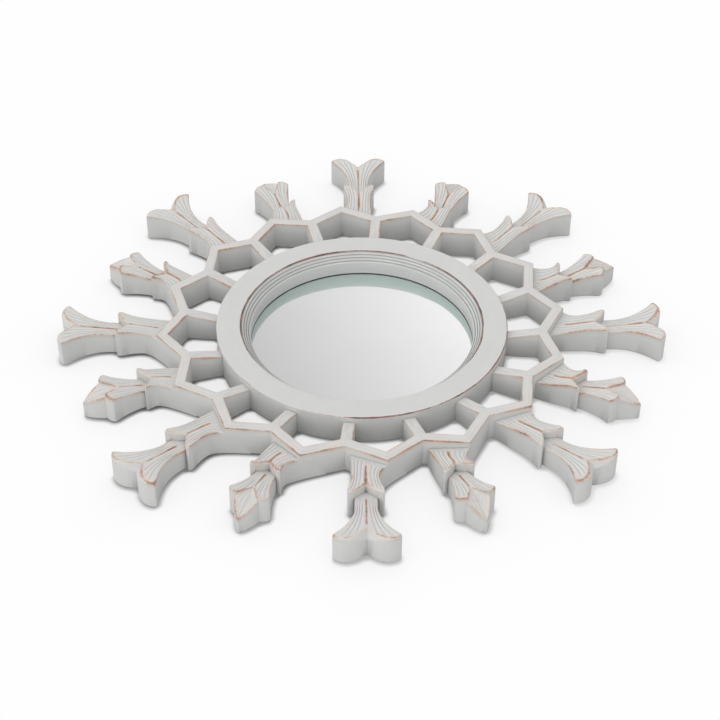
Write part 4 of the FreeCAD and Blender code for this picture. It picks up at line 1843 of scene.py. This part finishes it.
    def cutters(self) -> Iterator[Object]:
        """Cutters for the back.

        Yields:
            Pockets, recess and dowel holes as one cutter, then screw holes and keyhole as another.
        """
        pivot = (PIVOT_RADIUS, 0.0, 0.0)
        pocket = cylinder("pocket", pivot, self.pocket_radius, 2.0 * self.pocket_roof, ROUND_SIDES)
        pocket.take_all()
        bpy.ops.mesh.bisect(plane_co=(self.pocket_outer * MM, 0.0, 0.0), plane_no=(1.0, 0.0, 0.0),
                            use_fill=True, clear_outer=True)
        hole = cylinder("pivot_hole", pivot, self.pivot_hole, 2.0 * self.pivot_depth)
        dowel = cylinder("dowel_hole", (self.outer_radius, 0.0, self.dowel_height), self.dowel_radius,
                         2.0 * self.dowel_depth, turn=(0.0, pi / 2.0, 0.0))
        clear_selection()
        first = [turned_copy(pocket.piece, "pocket_cut", angle) for angle in BUTTON_ANGLES]
        first += [turned_copy(dowel.piece, "dowel_cut", angle) for angle in self.lattice.spoke_angles]
        first.append(obround("recess_cut", flat(0.0, self.recess_centre), flat(self.recess_run),
                             self.recess_half, self.cut_below, self.recess_top).piece)
        second = [turned_copy(hole.piece, "pivot_cut", angle) for angle in BUTTON_ANGLES]
        half_run = self.keyhole_run / 2.0
        second.append(obround("keyhole_cut", flat(0.0, self.keyhole_start + half_run), flat(0.0, half_run),
                              self.keyhole_half, self.cut_below, self.keyhole_top).piece)
        for used in (pocket, hole, dowel):
            bpy.data.objects.remove(used.piece)
        yield joined(first, "first_cuts")
        yield joined(second, "second_cuts")

    def wear(self, radius: float, angle: float, height: float) -> float:
        """How far a place lies from the two rubbed arrises of the face.

        The inner arris is rubbed nearly all round but at the near side, and the outer one at the near right
        and in a short stretch at the near left.

        Args:
            radius: Its radius.
            angle: Its angle round the centre, in radians.
            height: Its height.

        Returns:
            The distance, with more added where an arris is rubbed less.
        """
        over = height - self.height
        away = abs(remainder(angle - pi / 2.0, tau))
        inner = hypot(radius - self.face_radius, over)
        inner += self.near_weaker * smoothstep(*map(radians, self.near_side), away)
        inner += self.gap_weaker * bell(angle, *self.gap)
        outer = hypot(radius - self.outer_radius + self.rub_inset, over + self.rub_inset)
        toward = cos(angle - radians(self.rub_heading))
        stretch = self.stretch_share * bell(angle, *self.stretch)
        outer += self.rub_weaker - self.rub_gain * max(toward, stretch)
        return min(inner, outer)


@dataclass
class MirrorPane:
    """Round mirror: a slab of glass with a ground edge and silvering on its back."""

    radius: float
    bottom: float
    top: float
    edge: float = 0.4
    gap: float = 0.05

    def build(self, name: str, glass: Material, silver: Material) -> Object:
        """Cut the disc, grind its edge and silver its back.

        Args:
            name: Name of the piece.
            glass: Finish of the front and the edge.
            silver: Finish of the back.

        Returns:
            The pane.
        """
        thickness = self.top - self.bottom - 2.0 * self.gap
        middle = (0.0, 0.0, (self.bottom + self.top) / 2.0)
        bench = cylinder(name, middle, self.radius, thickness, FINE_TURN)
        bench.ease_rims(self.edge, 1)
        piece = bench.finish()
        piece.data.materials.append(glass)
        piece.data.materials.append(silver)
        for face in piece.data.polygons:
            face.material_index = 1 if face.normal.z < -0.9 else 0
        return piece


@dataclass
class TurnButton:
    """Brass turn button that laps over the backing, with the pan-head screw that it pivots on."""

    low: float
    high: float
    half: float = 4.5
    reach: float = 20.0
    bore: float = 1.8
    bore_depth: float = 20.0
    edge: float = 0.3
    dish: float = 0.25
    dish_rim: float = 1.4
    dish_slope: float = 0.4
    dish_area: float = 60.0
    head_low: float = 0.4
    head_high: float = 1.6
    head_radius: float = 3.6
    head_round: float = 0.7
    shank_radius: float = 1.75
    shank_high: float = 15.4
    cross: Pair = (1.7, 0.7)

    def build(self, name: str) -> Object:
        """Stretch a disc into a tab, press its face in, ease its edges and drill it.

        Args:
            name: Name of the piece.

        Returns:
            The button on the +X side.
        """
        span = self.reach - self.half
        broad = self.dish_area * MM * MM
        centre = flat(PIVOT_RADIUS - span / 2.0)
        bench = obround(name, centre, flat(span / 2.0), self.half, self.low, self.high)
        bench.ease_rims(self.edge, 2)
        bench.pick(Pick.FACE, lambda face: face.normal.z < -0.99 and face.calc_area() > broad)
        bpy.ops.mesh.inset(thickness=self.dish_rim * MM)
        bpy.ops.mesh.inset(thickness=self.dish_slope * MM, depth=-self.dish * MM)
        hole = cylinder("button_bore", (PIVOT_RADIUS, 0.0, 0.0), self.bore, self.bore_depth)
        clear_selection()
        bench.combine(hole.piece, Join.CUT)
        return bench.finish()

    def build_screw(self, name: str) -> Object:
        """Draw a shank out of a head, round the head and cut its cross.

        Args:
            name: Name of the piece.

        Returns:
            The screw on the +X side.
        """
        depth = self.head_high - self.head_low
        bench = cylinder(name, (PIVOT_RADIUS, 0.0, self.head_low + depth / 2.0), self.head_radius, depth)
        draw_shank(bench, self.shank_radius / self.head_radius, self.shank_high - self.head_high)
        bench.pick(Pick.EDGE, lambda edge: max(v.co.z for v in edge.verts) < (self.head_low + NEAR) * MM)
        bench.bevel(self.head_round, 4)
        cut_cross(bench, Vector((PIVOT_RADIUS, 0.0, self.head_low)), *self.cross)
        return bench.finish()


def draw_shank(bench: Bench, share: float, length: float, point: float = 2.5, tip: float = 0.25) -> None:
    """Draw a screw's shank up out of the top of its head, with a pointed end.

    Args:
        bench: The head on the bench.
        share: Radius of the shank as a share of the head's at the top.
        length: Length of the shank.
        point: Length of its point.
        tip: Radius at the end of the point as a share of the shank's.
    """
    bench.pick(Pick.FACE, lambda face: face.normal.z > 0.99)
    bench.extrude(0.0)
    bpy.ops.transform.resize(value=(share, share, 1.0))
    bench.extrude(length - point)
    bench.extrude(point)
    bpy.ops.transform.resize(value=(tip, tip, 1.0))


def cut_cross(bench: Bench, centre: Vector, reach: float, depth: float, half: float = 0.35,
              taper: float = 0.6) -> None:
    """Cut a cross recess for a driver into the underside of a screw's head.

    Args:
        bench: The screw on the bench.
        centre: Middle of the head's underside.
        reach: Half length of the cross.
        depth: Depth of the recess.
        half: Half width of its arms.
        taper: Size of its bottom as a share of its mouth's.
    """
    bottom = (centre.z + NEAR) * MM
    for long, wide in ((reach, half), (half, reach)):
        slot = Bench("cross_cut", bpy.ops.mesh.primitive_cube_add, size=2.0, location=centre * MM,
                     scale=(long * MM, wide * MM, depth * MM))
        slot.pick(Pick.VERT, lambda vert: vert.co.z > bottom)
        bpy.ops.transform.resize(value=(taper, taper, 1.0))
        clear_selection()
        bench.combine(slot.piece, Join.CUT)


@dataclass
class Hanger:
    """Keyhole hanger plate let into the back of the ring, with its two countersunk screws."""

    centre_radius: float
    low: float
    high: float
    run: float = 12.0
    half: float = 10.0
    keyhole: Pair = (128.5, 137.0)
    keyhole_radius: float = 4.25
    slot_half: float = 2.2
    screw_spread: float = 16.0
    screw_radius: float = 1.5
    head_radius: float = 3.2
    screw_depth: float = 8.0
    gap: float = 0.1
    edge: float = 0.35
    slot_low: float = -2.0
    slot_high: float = 4.0
    entry_depth: float = 12.0
    cross: Pair = (1.6, 0.8)

    def build(self, name: str) -> Object:
        """Stretch a disc into a plate, ease its edges, and cut the keyhole and screw seats.

        Args:
            name: Name of the piece.

        Returns:
            The plate.
        """
        bench = obround(name, flat(0.0, self.centre_radius), flat(self.run), self.half, self.low, self.high)
        bench.ease_rims(self.edge, 2)
        start, end = self.keyhole
        slot = obround("keyhole_slot", flat(0.0, (start + end) / 2.0), flat(0.0, (end - start) / 2.0),
                       self.slot_half, self.slot_low, self.slot_high)
        entry = cylinder("keyhole_entry", flat(0.0, start), self.keyhole_radius, self.entry_depth,
                         ROUND_SIDES)
        clear_selection()
        for cutter in (slot, entry, self.screw(self.gap, 1.0), self.screw(self.gap, -1.0)):
            bench.combine(cutter.piece, Join.CUT)
        return bench.finish()

    def screw(self, gap: float, side: float) -> Bench:
        """Countersunk screw, or the cutter for its seat.

        Args:
            gap: Room round the screw for its seat.
            side: 1 for the right screw, -1 for the left.

        Returns:
            The screw on the bench.
        """
        head = self.head_radius - self.screw_radius
        centre = Vector((self.screw_spread * side, self.centre_radius, self.low - gap + (head + gap) / 2.0))
        bench = Bench("plate_screw", bpy.ops.mesh.primitive_cone_add, vertices=HOLE_SIDES,
                      radius1=(self.head_radius + gap) * MM, radius2=(self.screw_radius + gap) * MM,
                      depth=(head + gap) * MM, location=centre * MM)
        draw_shank(bench, 1.0, self.high - self.low + self.screw_depth - head)
        clear_selection()
        return bench

    def build_screws(self, name: str) -> Object:
        """Both screws, with their cross recesses, as one piece.

        Args:
            name: Name of the piece.

        Returns:
            The screws.
        """
        screws = []
        for side in (1.0, -1.0):
            bench = self.screw(0.0, side)
            cut_cross(bench, Vector((self.screw_spread * side, self.centre_radius, self.low)), *self.cross)
            screws.append(bench.finish())
        return joined(screws, name)


@dataclass(frozen=True)
class Viewpoint:
    """The camera: where it stands round the object and how it is framed. Lengths are in millimetres."""

    distance: float = 1695.707
    elevation: float = 39.567
    azimuth: float = -1.024
    roll: float = 0.317
    aim_right: float = -1.861
    aim_up: float = -15.364
    lens: float = 83.16475
    sensor: float = 36.0

    def place(self) -> None:
        """Set the camera up and make it the scene's."""
        high, heading, roll = (radians(v) for v in (self.elevation, self.azimuth, self.roll))
        level_part = cos(high)
        back = Vector((sin(heading) * level_part, -cos(heading) * level_part, sin(high)))
        level = (-back).cross(Vector((0.0, 0.0, 1.0))).normalized()
        upright = level.cross(-back)
        right = level * cos(roll) + upright * sin(roll)
        up = upright * cos(roll) - level * sin(roll)
        data = bpy.data.cameras.new("studio_camera")
        data.sensor_fit = "HORIZONTAL"
        data.sensor_width = self.sensor
        data.lens = self.lens
        camera = bpy.data.objects.new("studio_camera", data)
        turn = Matrix((right, up, back)).transposed().to_4x4()
        spot = (back * self.distance + right * self.aim_right + up * self.aim_up) * MM
        camera.matrix_world = Matrix.Translation(spot) @ turn
        bpy.context.scene.collection.objects.link(camera)
        bpy.context.scene.camera = camera


@dataclass
class Studio:
    """White floor and soft light from all round, strongest from above and the front left.

    Rays off the mirror that look away from the camera see a soft fall of light from side to side instead,
    and rays off gloss that look to the front see more light, which fills the well.
    """

    floor_size: float = 12000.0
    floor_gap: float = 0.05
    sky: Ramp = (0.0, 1.0, 1.0, 1.05)
    front: float = 0.2
    left: float = 0.33
    well_fill: Ramp = (0.0, -0.3, 0.0, 0.75)
    mirror_left: Triple = (0.609, 0.534, 0.546)
    mirror_right: Triple = (1.075, 0.94, 0.962)
    mirror_across: Ramp = (-0.08, 0.08, 0.0, 1.0)
    mirror_along: Ramp = (0.667, 0.609, 0.91, 1.09)
    mirror_beyond: Ramp = (0.0, 0.4, 0.0, 1.0)

    def build(self) -> None:
        """Lay the floor and light the scene."""
        self.lay_floor()
        self.light()

    def lay_floor(self) -> None:
        """Lay a white floor that keeps the object's shadow."""
        bench = Bench("studio_floor", bpy.ops.mesh.primitive_plane_add, size=self.floor_size * MM,
                      location=(0.0, 0.0, -self.floor_gap * MM))
        floor = bench.finish()
        floor.data.materials.append(StudioPaper().material())

    def light(self) -> None:
        """Light the scene with a bright dome, and show the mirror a soft side-to-side fall of light."""
        world = bpy.data.worlds.new("studio_dome")
        world.use_nodes = True
        bpy.context.scene.world = world
        tree = world.node_tree
        add = partial(add_node, tree)
        toward = add("ShaderNodeTexCoord", out="Generated")
        right, away, up = add("ShaderNodeSeparateXYZ", (toward,)).node.outputs
        rays = add("ShaderNodeLightPath").node.outputs
        gloss = add(MATH, (rays["Is Glossy Ray"], rays["Is Transmission Ray"]), {"operation": "MAXIMUM"})
        rise = add(MAP_RANGE, (up, *self.sky))
        ahead = add(MATH, (away, -self.front, rise), MULTIPLY_ADD)
        dome = add(MATH, (right, -self.left, ahead), MULTIPLY_ADD)
        toward_front = add(MAP_RANGE, (away, *self.well_fill))
        fill = add(MATH, (gloss, toward_front, 1.0), MULTIPLY_ADD)
        lifted = add(MATH, (dome, fill), MULTIPLY)
        across = add(MAP_RANGE, (right, *self.mirror_across))
        seen = add(MIX, {0: across, 6: (*self.mirror_left, 1.0), 7: (*self.mirror_right, 1.0)}, RGBA, out=2)
        along = add(MAP_RANGE, (up, *self.mirror_along))
        glimpse = add(VECTOR_MATH, {0: seen, "Scale": along}, SCALE)
        beyond = add(MAP_RANGE, (away, *self.mirror_beyond))
        shiny = add(MATH, (gloss, beyond), MULTIPLY)
        white = add(MIX, {0: shiny, 6: lifted, 7: glimpse}, RGBA, out=2)
        final = add(MIX, {0: rays["Is Camera Ray"], 6: white, 7: (1.0, 1.0, 1.0, 1.0)}, RGBA, out=2)
        feed(tree, tree.nodes["Background"], {"Color": final})


@dataclass
class Sunburst:
    """The whole mirror: builds every piece and puts it on its body."""

    paint: Material = field(init=False)
    lattice: Lattice = field(init=False)
    ring_height: float = field(init=False)
    lattice_height: float = 31.0
    right_cut_gain: float = 0.9
    right_cut_heading: float = 25.0

    def __post_init__(self) -> None:
        """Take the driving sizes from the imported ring."""
        _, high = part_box("centre_ring")
        self.ring_height = high.z / MM
        self.lattice = Lattice(high.x / MM)
        self.paint = WornChalkPaint("worn_chalk_paint").material()

    def build(self) -> None:
        """Build the pieces from the middle outwards, then the back."""
        self.build_ring()
        self.build_branches()
        self.build_rays()
        self.build_mirror()
        self.build_back()
        self.dress_joinery()

    def build_ring(self) -> None:
        """The turned ring, in a paint that is rubbed to a redder ground."""
        _, glass_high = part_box("mirror_glass")
        ring = CentreRing(self.lattice, self.ring_height, glass_high.z / MM).build("turned_ring")
        redder = WornChalkPaint("worn_chalk_paint_ring", worn_bright="#9C6B64", worn_dark="#5A4F4C",
                                glaze_and_shade="#AEB0AE", least=0.55, widest=1.3, soft=0.35, patch=45.0, halo=1.2,
                                halo_share=0.4, nick_depth=0.6, brush=0.15, brush_flat=0.08)
        ring.data.materials.append(redder.material())
        mount(ring, Slot.PAINT, "centre_ring")

    def build_branches(self) -> None:
        """Sixteen branches from one."""
        master = Branch(self.lattice, self.lattice_height).build("branch_master")
        master.data.materials.append(self.paint)
        for number, angle in enumerate(self.lattice.spoke_angles, start=1):
            piece = turned_copy(master, f"lattice_branch_{number:02d}", angle)
            mount(piece, Slot.PAINT, f"branch_{number:02d}")
        bpy.data.objects.remove(master)

    def build_rays(self) -> None:
        """Eight forked and eight bud rays, in turn."""
        fork = ForkRay(self.lattice, self.lattice_height).build("fork_master")
        bud_plan = BudRay(self.lattice, self.lattice_height)
        bud = bud_plan.build("bud_master")
        for master in (fork, bud):
            master.data.materials.append(self.paint)
        for index in range(self.lattice.count):
            number = index // 2 + 1
            angle = index * self.lattice.pitch
            if index % 2 == 0:
                piece = turned_copy(fork, f"carved_fork_{number}", angle)
                mount(piece, Slot.PAINT, f"fork_ray_{number}")
            else:
                piece = turned_copy(bud, f"carved_bud_{number}", angle + bud_plan.lean)
                mount(piece, Slot.PAINT, f"bud_ray_{number}")
            self.deepen_cuts_toward_right(piece, angle)
        bpy.data.objects.remove(fork)
        bpy.data.objects.remove(bud)

    def deepen_cuts_toward_right(self, piece: Object, angle: float) -> None:
        """Make the cuts darker and their crests lighter on the rays toward the right.

        Args:
            piece: The ray.
            angle: Its angle round the centre, in degrees.
        """
        share = 1.0 + self.right_cut_gain * max(0.0, cos(radians(angle - self.right_cut_heading)))
        for item in piece.data.attributes["hollow"].data:
            item.value *= share

    def build_mirror(self) -> None:
        """The silvered pane."""
        low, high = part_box("mirror_glass")
        pane = MirrorPane(high.x / MM, low.z / MM, high.z / MM)
        piece = pane.build("silvered_pane", FloatGlass().material(), Silvering().material())
        mount(piece, Slot.MIRROR, "mirror_glass")

    def build_back(self) -> None:
        """Turn buttons with their screws, and the hanger with its screws."""
        button_low, button_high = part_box("turn_button_1")
        plan = TurnButton(button_low.z / MM, button_high.z / MM)
        brass = Plating("rolled_brass", "#D9B25F", "#B58B3E", roughness=(0.23, 0.4)).material()
        zinc = Plating("zinc_plated_steel", "#C9CCD0", "#A6A9AC", roughness=(0.27, 0.44)).material()
        button = plan.build("button_master")
        screw = plan.build_screw("screw_master")
        button.data.materials.append(brass)
        screw.data.materials.append(zinc)
        for number, angle in enumerate(BUTTON_ANGLES, start=1):
            piece = turned_copy(button, f"brass_button_{number}", angle)
            mount(piece, Slot.BRASS, f"turn_button_{number}", body=f"turn_button_{number}")
        screws = joined([turned_copy(screw, "pan_screw", angle) for angle in BUTTON_ANGLES],
                        "pan_head_screws")
        mount(screws, Slot.STEEL, "turn_button_screws")
        bpy.data.objects.remove(button)
        bpy.data.objects.remove(screw)
        plate_low, plate_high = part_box("hanger_plate")
        hanger = Hanger((plate_low.y + plate_high.y) / 2.0 / MM, plate_low.z / MM, plate_high.z / MM)
        plate = hanger.build("keyhole_plate")
        plate.data.materials.append(zinc)
        mount(plate, Slot.STEEL, "hanger_plate")
        fixings = hanger.build_screws("countersunk_screws")
        fixings.data.materials.append(zinc)
        mount(fixings, Slot.STEEL, "hanger_screws")

    def dress_joinery(self) -> None:
        """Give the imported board, dowels and keys their finishes."""
        finishes = {Hardboard().material(): ("backing_board",),
                    Beech().material(): ("spoke_dowels", "ray_dowels", "mitre_keys")}
        for finish, names in finishes.items():
            for name in names:
                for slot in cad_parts[name].material_slots:
                    slot.material = finish


def main() -> None:
    """Build the mirror, its studio and its camera."""
    logging.basicConfig(level=logging.INFO, format="%(name)s: %(message)s")
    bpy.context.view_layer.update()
    scene = bpy.context.scene
    scene.view_settings.view_transform = "Standard"
    Sunburst().build()
    Studio().build()
    Viewpoint().place()
    clear_selection()


if __name__ == "__main__":
    main()
